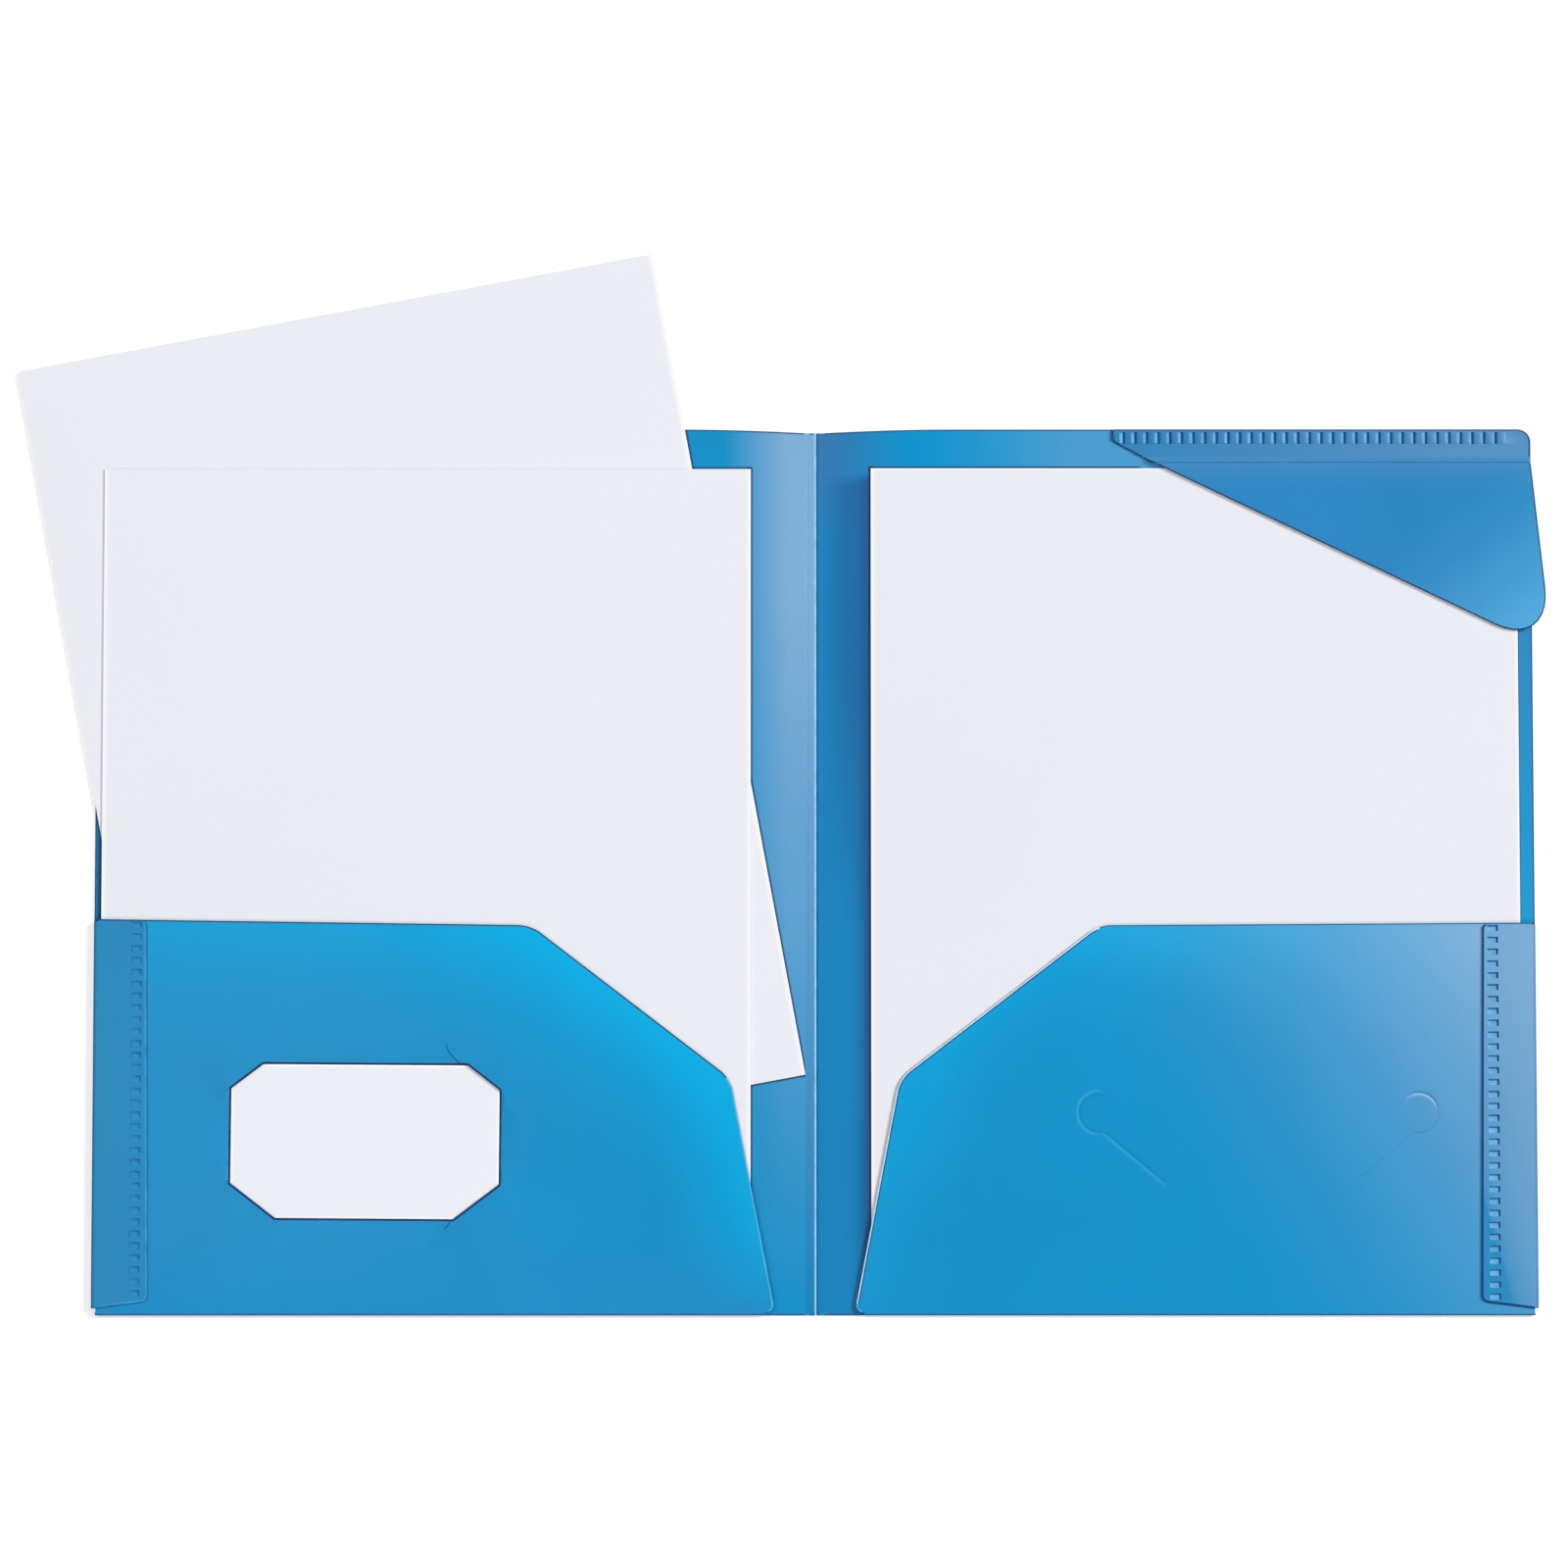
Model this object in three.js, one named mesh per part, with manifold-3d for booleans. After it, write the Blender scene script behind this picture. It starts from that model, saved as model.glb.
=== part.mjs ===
// A four pocket folder for letter paper, lying open on its back, in millimetres.
// X runs to the right across the open folder, Y towards its top edge and Z up from the table.
// The origin is the middle of the spine, on the face that lies on the table.
import * as THREE from "three";
import { mergeVertices } from "three/addons/utils/BufferGeometryUtils.js";
import Module from "manifold-3d";

const wasm = await Module();
wasm.setup();

// Film, paper and clearances
const film = 0.5; // polypropylene film of covers, pockets and flap
const paper = 0.2; // a letter sheet, or a thin pack of two
const cardStock = 0.3;
const layerGap = 0.3; // height between loose layers
const slipGap = 0.3; // sideways, between a pocket wall and what it turns round
const closedGap = 0.5; // height left between the two sides when the folder is closed

// Covers and spine
const coverCorner = 4.2;
const spineDip = 1.3; // how far the top edge drops at the spine
const dipRun = 45; // from the crease to where the top edge is level again
const grooveWidth = 1.2; // the line pressed down the middle of the spine
const grooveDepth = 0.15;

// Pockets, measured from the spine crease and from the bottom edge
const pocketHeight = 129.1; // at the shoulder
const leftPocketRise = 2; // of the top edge, towards the outer edge
const rightPocketRise = 0.9;
const shoulderReach = 91.9; // where the top edge would meet the slanted edge
const shoulderRadius = 12;
const kneeReach = 25.5;
const kneeHeight = 78.3;
const kneeRadius = 11;
const footReach = 10.7;
const footRadius = 2.7;

// Side tabs, folded over the pocket from the outer edge and welded down
const tabTopWidth = 17.8;
const tabFootWidth = 19.1;
const tabTopDrop = 0.6; // below the pocket's top edge
const tabFootHeight = 2.4; // at the outer edge
const tabFootSlant = 2.2;
const tabTopRadius = 1.3;
const tabFootRadius = 2.5;

// Weld marks on the tabs
const dashLength = 3.2;
const dashWidth = 1.2;
const dashPitch = 3.93;
const dashInset = 14.6; // from the cover's outer edge to the middle of a dash
const dashTopDrop = 1.2; // from the tab's top edge to the middle of the first dash
const dashFootRoom = 2.6; // least height of a dash above the tab's foot
const dashDepth = 0.15; // how far a dash is pressed into the tab

// Letter sheets, each measured to the cover's outer edge and the bottom edge
const sheetWidth = 215.9;
const sheetHeight = 279.4;
const frontSheetInset = 2.4;
const frontSheetLift = 2.2;
const rightSheetInset = 4.9;
const rightSheetLift = 2.5;
const sheetSpineGap = 16.3; // from the right sheet to the spine crease
const sheetFlapGap = 2.7; // from the right sheet to the flap's crease
const tiltedSheetShiftX = -5.65; // from the front sheet's middle to the tilted sheet's
const tiltedSheetShiftY = 55.1;
const tiltedSheetTurn = 10.6; // degrees, anticlockwise

// Card and the four slits that hold its corners
const cardWidth = 88.9;
const cardHeight = 50.8;
const cardInset = 90.5; // from the cover's outer edge to the card's middle
const cardLift = 57.4;
const cardTurn = -0.4; // degrees
const slitAngle = 37.4; // degrees from the card's long edge
const topSlitDepth = 6.4; // how far an upper corner reaches behind its slit
const footSlitDepth = 9.1; // the same for a lower corner, on which the card rests
const slitWidth = 0.3;
const tentRoom = 0.8; // level film past the card's edges, over each corner
const tentSlope = 3.2; // width of the slopes down to the pocket
const tentTip = 1.2; // half width of the level film past the corner's point

// Empty card slits of the right pocket: a round tongue and a slanting cut at each end
const holderInset = 92.4; // from the cover's outer edge to the middle between the tongues
const holderLift = 67;
const tongueReach = 53.1; // from the holder's middle to a tongue's centre
const tongueRadius = 6.55;
const tongueStart = -7; // degrees from straight up, round the tongue's outer side
const tongueEnd = 194;
const cutDrop = 18.1;
const cutRun = 21.7;

// Corner flap, with its strip welded along the top edge of the back cover
const flapEdgeInset = 0.3; // from the cover's outer edge to the strip's end
const flapHingeDrop = 10.4; // from the top edge to the flap's crease
const flapHingeLength = 127.8;
const stripTipReach = 12.3; // how far the strip runs on past the crease
const stripTipHeight = 3.8;
const stripTipRadius = 1.4;
const stripCorner = 4.2;
const flapCornerDrop = 64.4; // from the crease to the free corner, before rounding
const flapOverhang = 6.7; // of that corner past the cover's outer edge
const flapCornerRadius = 12;
const ribWidth = 2.5;
const ribLength = 4;
const ribPitch = 3.89;
const ribTopDrop = 0.5; // from the top edge to a rib
const ribEndRoom = 9.35; // from the strip's outer end to the middle of the first rib
const ribHeight = 0.15; // how far a rib stands up from the strip

// Smoothness of round corners and folds
const arcSteps = 8;
const chamferSteps = 1;

// Sides of the open folder
const LEFT = -1;
const RIGHT = 1;

// Each cover is cut to hold its sheet, beside the spine and below the flap
const coverWidth = rightSheetInset + sheetWidth + sheetSpineGap;
const coverHeight = rightSheetLift + sheetHeight + sheetFlapGap + flapHingeDrop;

// Heights of the layers, from the table up
const innerFace = film;
const tiltedSheetBottom = innerFace + layerGap;
const frontSheetBottom = tiltedSheetBottom + paper + layerGap;
const leftPanelBottom = frontSheetBottom + paper + layerGap;
const cardBottom = leftPanelBottom + film + layerGap;
const tentTop = cardBottom + cardStock + layerGap + film;
const rightSheetBottom = innerFace + layerGap;
const rightPanelBottom = rightSheetBottom + paper + layerGap;
const stripTop = innerFace + film;
const flapBottom = Math.max(stripTop, rightSheetBottom + paper) + layerGap;

// The spine is as wide as the closed folder is thick between its covers
const spineWidth = tentTop - innerFace + rightPanelBottom + film - innerFace + closedGap;
const crease = spineWidth / 2;
const outerEdge = crease + coverWidth;
const spineHeight = coverHeight - spineDip;
const dipRadius = (dipRun * dipRun) / spineDip; // a long curve, tangent to the level edge

const bluePolypropylene = () =>
  new THREE.MeshStandardMaterial({ color: 0x1b90cc, roughness: 0.35, metalness: 0 });
const whitePaper = () =>
  new THREE.MeshStandardMaterial({ color: 0xe9eaef, roughness: 0.9, metalness: 0 });

const degrees = THREE.MathUtils.degToRad;

function part(name, geometry, material) {
  const mesh = new THREE.Mesh(geometry, material);
  mesh.name = name;
  return mesh;
}

// A closed outline through corners given as [x, y, radius]
function outline(corners, steps = arcSteps) {
  const points = [];
  corners.forEach(([x, y, radius = 0], index) => {
    const corner = new THREE.Vector2(x, y);
    if (radius === 0) {
      points.push(corner);
      return;
    }
    const before = corners.at(index - 1);
    const after = corners[(index + 1) % corners.length];
    const back = new THREE.Vector2(before[0], before[1]).sub(corner).normalize();
    const ahead = new THREE.Vector2(after[0], after[1]).sub(corner).normalize();
    const half = Math.acos(back.dot(ahead)) / 2;
    const inwards = back.clone().add(ahead).normalize();
    const centre = corner.clone().addScaledVector(inwards, radius / Math.sin(half));
    const start = corner.clone().addScaledVector(back, radius / Math.tan(half)).sub(centre);
    const sweep = (Math.PI - 2 * half) * Math.sign(ahead.cross(back));
    for (let step = 0; step <= steps; step++) {
      const angle = start.angle() + (sweep * step) / steps;
      points.push(
        new THREE.Vector2(
          centre.x + radius * Math.cos(angle),
          centre.y + radius * Math.sin(angle),
        ),
      );
    }
  });
  return new THREE.Shape(points);
}

// A flat piece of the given thickness
function plate(shape, bottom, thickness) {
  const geometry = new THREE.ExtrudeGeometry(shape, { depth: thickness, bevelEnabled: false });
  return geometry.translate(0, 0, bottom);
}

function rectangle(width, height, radius = 0) {
  const x = width / 2;
  const y = height / 2;
  const corners = [
    [-x, -y, radius],
    [x, -y, radius],
    [x, y, radius],
    [-x, y, radius],
  ];
  return outline(corners, chamferSteps);
}

// Geometry to solid and back, for joins and cuts
function solid(geometry) {
  const bare = geometry.clone();
  bare.deleteAttribute("normal");
  bare.deleteAttribute("uv");
  const merged = mergeVertices(bare, 1e-5);
  const mesh = new wasm.Mesh({
    numProp: 3,
    vertProperties: new Float32Array(merged.attributes.position.array),
    triVerts: new Uint32Array(merged.index.array),
  });
  return new wasm.Manifold(mesh);
}

function geometryOf(body) {
  const { numProp, vertProperties, triVerts } = body.getMesh();
  const positions = new Float32Array((vertProperties.length / numProp) * 3);
  for (let vertex = 0; vertex * numProp < vertProperties.length; vertex++) {
    const from = vertex * numProp;
    positions.set(vertProperties.subarray(from, from + 3), vertex * 3);
  }
  const geometry = new THREE.BufferGeometry();
  geometry.setAttribute("position", new THREE.BufferAttribute(positions, 3));
  geometry.setIndex(new THREE.BufferAttribute(triVerts, 1));
  geometry.computeVertexNormals();
  return geometry;
}

const joined = (base, pieces) => pieces.reduce((body, piece) => body.add(solid(piece)), base);
const cut = (base, pieces) => pieces.reduce((body, piece) => body.subtract(solid(piece)), base);

// Half a ring in its own plane, from straight down round the -x side to straight up
function halfRing(outerRadius) {
  const points = [];
  const innerRadius = outerRadius - film;
  for (let step = 0; step <= arcSteps; step++) {
    const angle = Math.PI * (1.5 - step / arcSteps);
    points.push(new THREE.Vector2(Math.cos(angle), Math.sin(angle)).multiplyScalar(outerRadius));
  }
  for (let step = arcSteps; step >= 0; step--) {
    const angle = Math.PI * (1.5 - step / arcSteps);
    points.push(new THREE.Vector2(Math.cos(angle), Math.sin(angle)).multiplyScalar(innerRadius));
  }
  return new THREE.Shape(points);
}

// A fold along X under the pocket's bottom edge, between the cover and the pocket
function bottomFold(radius, fromX, toX) {
  const depth = toX - fromX;
  const geometry = new THREE.ExtrudeGeometry(halfRing(radius), { depth, bevelEnabled: false });
  const lieAlongX = new THREE.Matrix4().set(0, 0, 1, fromX, 1, 0, 0, radius, 0, 1, 0, radius, 0, 0, 0, 1);
  return geometry.applyMatrix4(lieAlongX);
}

// A fold along Y at the outer edge, between the cover and the side tab
function sideFold(side, radius, fromY, toY) {
  const depth = toY - fromY;
  const ring = halfRing(radius);
  const turned = side === LEFT ? ring : new THREE.Shape(ring.getPoints().map((p) => p.setX(-p.x)));
  const geometry = new THREE.ExtrudeGeometry(turned, { depth, bevelEnabled: false });
  const axisX = side * (outerEdge - radius);
  const lieAlongY = new THREE.Matrix4().set(1, 0, 0, axisX, 0, 0, -1, toY, 0, 1, 0, radius, 0, 0, 0, 1);
  return geometry.applyMatrix4(lieAlongY);
}

// Places shared by the pieces of one side, as distances from the middle of the spine
function pocketPlaces(panelBottom, topRise) {
  const bottomRadius = (panelBottom + film) / 2;
  const sideRadius = (panelBottom + 2 * film) / 2;
  const foot = [crease + footReach, bottomRadius];
  const knee = [crease + kneeReach, kneeHeight];
  const footAngle = Math.atan2(knee[1] - foot[1], knee[0] - foot[0]);
  return {
    bottomRadius,
    sideRadius,
    foot,
    knee,
    foldStart: foot[0] + footRadius / Math.tan(footAngle / 2),
    foldEnd: outerEdge - sideRadius,
    pocketTop: pocketHeight + topRise,
    tabTop: pocketHeight + topRise - tabTopDrop,
  };
}

function cover(side, places) {
  const { bottomRadius, foldStart, foldEnd, tabTop } = places;
  const corners = [
    [side * crease, 0],
    [side * foldStart, 0],
    [side * foldStart, bottomRadius],
    [side * foldEnd, bottomRadius],
    [side * foldEnd, tabTop],
    [side * outerEdge, tabTop],
    [side * outerEdge, coverHeight, coverCorner],
    [side * (crease + dipRun), coverHeight, dipRadius],
    [side * crease, coverHeight - spineDip],
  ];
  return plate(outline(corners), 0, film);
}

function pocketPanel(side, places, bottom) {
  const { foot, knee, foldEnd, pocketTop } = places;
  const panelEdge = foldEnd - slipGap;
  const corners = [
    [side * foot[0], foot[1], footRadius],
    [side * panelEdge, foot[1]],
    [side * panelEdge, pocketTop],
    [side * (crease + shoulderReach), pocketHeight, shoulderRadius],
    [side * knee[0], knee[1], kneeRadius],
  ];
  return plate(outline(corners), bottom, film);
}

// A row of weld marks, each the same shape from one height to another
function weldMarks(shape, places, low, high) {
  return places.map(([x, y]) => plate(shape, low, high - low).translate(x, y, 0));
}

function sideTab(side, places, bottom) {
  const { foldEnd, tabTop } = places;
  const corners = [
    [side * foldEnd, tabFootHeight],
    [side * foldEnd, tabTop],
    [side * (outerEdge - tabTopWidth), tabTop, tabTopRadius],
    [side * (outerEdge - tabFootWidth), tabFootHeight + tabFootSlant, tabFootRadius],
  ];
  const marks = [];
  const lowest = tabFootHeight + dashFootRoom;
  for (let y = tabTop - dashTopDrop; y > lowest; y -= dashPitch)
    marks.push([side * (outerEdge - dashInset), y]);
  const dash = rectangle(dashLength, dashWidth, dashWidth / 4);
  const tab = solid(plate(outline(corners), bottom, film));
  const face = bottom + film;
  return geometryOf(cut(tab, weldMarks(dash, marks, face - dashDepth, face + dashDepth)));
}

// The film that is pushed up over one corner of the card, around the slit it comes through.
// It is drawn with its slit along X and the card's corner towards +Y.
function tentCorners(slitDepth) {
  const toShortEdge = slitDepth * Math.tan(degrees(slitAngle));
  const toLongEdge = slitDepth / Math.tan(degrees(slitAngle));
  const level = [
    [-toLongEdge - tentRoom, 0],
    [toShortEdge + tentRoom, 0],
    [tentTip, slitDepth + tentRoom],
    [-tentTip, slitDepth + tentRoom],
  ];
  const grown = [-tentSlope, tentSlope, tentSlope / 2, -tentSlope / 2];
  const foot = level.map(([x, y], index) => [x + grown[index], y === 0 ? 0 : y + tentSlope]);
  return { level, foot };
}

function tent(slitDepth) {
  const { level, foot } = tentCorners(slitDepth);
  const top = tentTop;
  const low = leftPanelBottom + film;
  const vertices = [
    ...foot.map(([x, y]) => [x, y, low]),
    ...level.map(([x, y]) => [x, y, top]),
    ...foot.map(([x, y]) => [x, y, low - film]),
    ...level.map(([x, y]) => [x, y, top - film]),
  ];
  // Faces as rings of corners: 0-3 foot, 4-7 level film, 8-15 the same corners of the underside
  const faces = [
    [4, 5, 6, 7],
    [1, 2, 6, 5],
    [2, 3, 7, 6],
    [3, 0, 4, 7],
    [15, 14, 13, 12],
    [13, 14, 10, 9],
    [14, 15, 11, 10],
    [15, 12, 8, 11],
    [9, 10, 2, 1],
    [10, 11, 3, 2],
    [11, 8, 0, 3],
    [8, 12, 4, 0],
    [12, 13, 5, 4],
    [13, 9, 1, 5],
  ];
  const triangles = faces.flatMap(([a, b, c, d]) => [a, b, c, a, c, d]);
  const geometry = new THREE.BufferGeometry();
  geometry.setAttribute("position", new THREE.Float32BufferAttribute(vertices.flat(), 3));
  geometry.setIndex(triangles);
  return geometry;
}

// The four slits as mirrored or turned copies: how each card corner lies to the card's middle
function cardCornerMatrices() {
  const angle = degrees(slitAngle);
  const inwards = new THREE.Vector2(-Math.sin(angle), -Math.cos(angle));
  const corner = new THREE.Vector2(cardWidth / 2, cardHeight / 2);
  const placed = new THREE.Matrix4()
    .makeTranslation(-(outerEdge - cardInset), cardLift, 0)
    .multiply(new THREE.Matrix4().makeRotationZ(degrees(cardTurn)));
  return [
    [1, 1],
    [-1, 1],
    [-1, -1],
    [1, -1],
  ].map(([flipX, flipY]) => {
    const slitDepth = flipY > 0 ? topSlitDepth : footSlitDepth;
    const middle = corner.clone().addScaledVector(inwards, slitDepth);
    const upright = new THREE.Matrix4()
      .makeTranslation(middle.x, middle.y, 0)
      .multiply(new THREE.Matrix4().makeRotationZ(-angle));
    const matrix = placed.clone().scale(new THREE.Vector3(flipX, flipY, 1)).multiply(upright);
    return { matrix, mirrored: flipX * flipY < 0, slitDepth };
  });
}

// A copy of a geometry at a matrix, with its faces still pointing out when the matrix mirrors
function copyAt(geometry, { matrix, mirrored }) {
  const copy = geometry.index ? geometry.toNonIndexed() : geometry.clone();
  copy.deleteAttribute("normal");
  copy.deleteAttribute("uv");
  const merged = mergeVertices(copy, 1e-5).applyMatrix4(matrix);
  if (mirrored) merged.setIndex([...merged.index.array].reverse());
  return merged;
}

function leftPocketPanel(places) {
  let panel = solid(pocketPanel(LEFT, places, leftPanelBottom));
  for (const corner of cardCornerMatrices()) {
    const { foot } = tentCorners(corner.slitDepth);
    const opening = plate(
      new THREE.Shape(foot.map(([x, y]) => new THREE.Vector2(x, y))),
      leftPanelBottom - film,
      3 * film,
    );
    const slitLength = foot[1][0] - foot[0][0];
    const slitMiddle = (foot[1][0] + foot[0][0]) / 2;
    const slit = plate(rectangle(slitLength, slitWidth), leftPanelBottom - film, tentTop + film)
      .translate(slitMiddle, 0, 0);
    panel = cut(panel, [copyAt(opening, corner)]);
    panel = joined(panel, [copyAt(tent(corner.slitDepth), corner)]);
    panel = cut(panel, [copyAt(slit, corner)]);
  }
  return geometryOf(panel);
}

// Part of a narrow ring, from one angle to another
function arcSlot(x, y, radius, fromAngle, toAngle) {
  const points = [];
  const edges = [
    [radius + slitWidth / 2, fromAngle, toAngle],
    [radius - slitWidth / 2, toAngle, fromAngle],
  ];
  for (const [edgeRadius, from, to] of edges)
    for (let step = 0; step <= 2 * arcSteps; step++) {
      const angle = from + ((to - from) * step) / (2 * arcSteps);
      points.push(
        new THREE.Vector2(x + edgeRadius * Math.cos(angle), y + edgeRadius * Math.sin(angle)),
      );
    }
  return new THREE.Shape(points);
}

function lineSlot(start, end) {
  const along = end.clone().sub(start).normalize();
  const across = new THREE.Vector2(-along.y, along.x).multiplyScalar(slitWidth / 2);
  return new THREE.Shape([
    start.clone().add(across),
    end.clone().add(across),
    end.clone().sub(across),
    start.clone().sub(across),
  ]);
}

function rightPocketPanel(places) {
  const slots = [];
  for (const flip of [-1, 1]) {
    const middleX = outerEdge - holderInset + flip * tongueReach;
    const angleAt = (turn) => degrees(90 - flip * turn);
    const fromAngle = angleAt(tongueStart);
    const toAngle = angleAt(tongueEnd);
    slots.push(arcSlot(middleX, holderLift, tongueRadius, fromAngle, toAngle));
    const neck = new THREE.Vector2(
      middleX + tongueRadius * Math.cos(toAngle),
      holderLift + tongueRadius * Math.sin(toAngle),
    );
    const end = neck.clone().add(new THREE.Vector2(-flip * cutRun, -cutDrop));
    slots.push(lineSlot(neck, end));
  }
  const panel = solid(pocketPanel(RIGHT, places, rightPanelBottom));
  const cutters = slots.map((slot) => plate(slot, rightPanelBottom - film, 3 * film));
  return geometryOf(cut(panel, cutters));
}

function spineStrip() {
  const strip = solid(plate(rectangle(spineWidth, spineHeight), 0, film));
  const groove = plate(rectangle(grooveWidth, 2 * spineHeight), film - grooveDepth, film);
  return geometryOf(cut(strip, [groove])).translate(0, spineHeight / 2, 0);
}

const stripEnd = outerEdge - flapEdgeInset;
const flapHingeY = coverHeight - flapHingeDrop;
const flapHingeStart = stripEnd - flapHingeLength;

function flapWeldStrip() {
  const tipX = flapHingeStart - stripTipReach;
  const corners = [
    [flapHingeStart, flapHingeY],
    [stripEnd, flapHingeY],
    [stripEnd, coverHeight, stripCorner],
    [tipX, coverHeight, stripTipRadius],
    [tipX, coverHeight - stripTipHeight, stripTipRadius],
  ];
  const ribs = [];
  const ribMiddle = coverHeight - ribTopDrop - ribLength / 2;
  for (let x = stripEnd - ribEndRoom; x > tipX + ribWidth / 2; x -= ribPitch)
    ribs.push([x, ribMiddle]);
  const rib = rectangle(ribWidth, ribLength, ribWidth / 4);
  const strip = solid(plate(outline(corners), innerFace, film));
  return geometryOf(joined(strip, weldMarks(rib, ribs, stripTop - film / 2, stripTop + ribHeight)));
}

function cornerFlap() {
  const corners = [
    [flapHingeStart, flapHingeY],
    [outerEdge + flapOverhang, flapHingeY - flapCornerDrop, flapCornerRadius],
    [stripEnd, flapHingeY],
  ];
  return plate(outline(corners), flapBottom, film);
}

function sheet(name, middleX, middleY, bottom, turn = 0) {
  const mesh = part(name, plate(rectangle(sheetWidth, sheetHeight), 0, paper), whitePaper());
  mesh.position.set(middleX, middleY, bottom);
  mesh.rotation.z = degrees(turn);
  return mesh;
}

// One side of the folder: its cover, the folds that turn up from it, the pocket and the tab
function folderSide(side, coverName, prefix, panelBottom, topRise, panelGeometry) {
  const places = pocketPlaces(panelBottom, topRise);
  const { bottomRadius, sideRadius, foldStart, foldEnd, tabTop } = places;
  const ends = [side * foldStart, side * foldEnd].sort((a, b) => a - b);
  const group = new THREE.Group();
  group.add(
    part(coverName, cover(side, places), bluePolypropylene()),
    part(prefix + "_bottom_fold", bottomFold(bottomRadius, ends[0], ends[1]), bluePolypropylene()),
    part(
      prefix + "_side_fold",
      sideFold(side, sideRadius, tabFootHeight, tabTop),
      bluePolypropylene(),
    ),
    part(prefix + "_pocket_panel", panelGeometry(places), bluePolypropylene()),
    part(
      prefix + "_side_tab",
      sideTab(side, places, panelBottom + film),
      bluePolypropylene(),
    ),
  );
  return group;
}

const folder = new THREE.Group();
folder.position.y = -coverHeight / 2;

folder.add(
  folderSide(LEFT, "front_cover", "left", leftPanelBottom, leftPocketRise, leftPocketPanel),
  part("spine_strip", spineStrip(), bluePolypropylene()),
  folderSide(RIGHT, "back_cover", "right", rightPanelBottom, rightPocketRise, rightPocketPanel),
  part("flap_weld_strip", flapWeldStrip(), bluePolypropylene()),
  part("corner_flap", cornerFlap(), bluePolypropylene()),
);

const frontSheetX = -(outerEdge - frontSheetInset - sheetWidth / 2);
const frontSheetY = frontSheetLift + sheetHeight / 2;
const tiltedSheetX = frontSheetX + tiltedSheetShiftX;
const tiltedSheetY = frontSheetY + tiltedSheetShiftY;
const rightSheetX = outerEdge - rightSheetInset - sheetWidth / 2;
const rightSheetY = rightSheetLift + sheetHeight / 2;
folder.add(
  sheet("left_front_sheet", frontSheetX, frontSheetY, frontSheetBottom),
  sheet("left_tilted_sheet", tiltedSheetX, tiltedSheetY, tiltedSheetBottom, tiltedSheetTurn),
  sheet("right_sheet", rightSheetX, rightSheetY, rightSheetBottom),
);

const card = part(
  "business_card",
  plate(rectangle(cardWidth, cardHeight), 0, cardStock),
  whitePaper(),
);
card.position.set(-(outerEdge - cardInset), cardLift, cardBottom);
card.rotation.z = degrees(cardTurn);
folder.add(card);

const root = new THREE.Group();
root.add(folder);
export default root;
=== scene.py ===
"""A four pocket folder for letter paper, lying open with its sheets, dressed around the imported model."""

import math
from contextlib import contextmanager

import bmesh
import bpy
from mathutils import Matrix, Vector


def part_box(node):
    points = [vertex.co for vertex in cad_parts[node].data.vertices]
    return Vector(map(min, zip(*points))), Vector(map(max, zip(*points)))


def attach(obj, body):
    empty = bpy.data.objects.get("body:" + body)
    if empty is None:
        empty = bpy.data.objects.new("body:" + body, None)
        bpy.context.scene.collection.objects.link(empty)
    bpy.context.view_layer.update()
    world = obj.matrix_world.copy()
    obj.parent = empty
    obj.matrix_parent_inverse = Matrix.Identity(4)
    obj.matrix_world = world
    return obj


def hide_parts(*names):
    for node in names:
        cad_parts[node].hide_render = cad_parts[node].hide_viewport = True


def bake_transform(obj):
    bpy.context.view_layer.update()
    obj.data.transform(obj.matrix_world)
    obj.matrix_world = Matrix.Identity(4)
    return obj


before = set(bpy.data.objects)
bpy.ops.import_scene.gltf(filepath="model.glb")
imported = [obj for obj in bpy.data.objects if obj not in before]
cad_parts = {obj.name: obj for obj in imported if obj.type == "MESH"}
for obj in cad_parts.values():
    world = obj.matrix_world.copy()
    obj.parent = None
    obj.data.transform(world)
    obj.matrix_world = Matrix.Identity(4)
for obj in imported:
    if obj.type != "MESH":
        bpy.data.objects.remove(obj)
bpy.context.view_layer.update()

# Pieces are shaped in millimetres and brought to metres at the end
MM = 0.001
TOUCH = 1e-3  # places nearer than this are one
CLOSE = 10 * TOUCH  # slack of a test for faces or edges along a line
LEFT = -1
RIGHT = 1


def reach(node):
    """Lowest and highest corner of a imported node, in millimetres."""
    low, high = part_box(node)
    return low / MM, high / MM


spine_high = reach("spine_strip")[1]
cover_low, cover_high = reach("back_cover")
flap_low, flap_high = reach("corner_flap")
strip_low, strip_high = reach("flap_weld_strip")
BOTTOM = cover_low.y
TOP = cover_high.y
CREASE = spine_high.x
SPINE_TOP = spine_high.y
FILM = flap_high.z - flap_low.z

# Cut edges
RIM = 0.45  # width of the darker band along a cut edge
RIM_DROP = 0.09
SUPPORT = 0.4  # level band inside the rim
CORNER_STEPS = 10
SMOOTH_ANGLE = math.radians(32)

# Covers and spine
COVER_CORNER = 4.2
DIP_RUN = 45
DIP_CUTS = 8
CREASE_HALF = 0.6  # half width of the thinned film at a fold line
CREASE_DEPTH = 0.06
CREASE_LINES = 8
GROOVE_PLACE = 0.5  # the pressed line, from the middle of the spine
GROOVE_LEFT = 0.55
GROOVE_SHADE = 0.6
GROOVE_RIGHT = 1.35
GROOVE_DEPTH = 0.38

# Pockets, measured from the spine crease and from the bottom edge
POCKET_HEIGHT = 129.1
SHOULDER_REACH = 91.9
SHOULDER_RADIUS = 12
KNEE_REACH = 25.5
KNEE_HEIGHT = 78.3
KNEE_RADIUS = 11
FOOT_REACH = 10.7
FOOT_RADIUS = 2.7
FOOT_EDGE_HEIGHT = 30  # below this the inner edge lies over the cover, above it over the sheet
FOLD_SIDES = 48  # of the whole tube that a fold is half of

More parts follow.
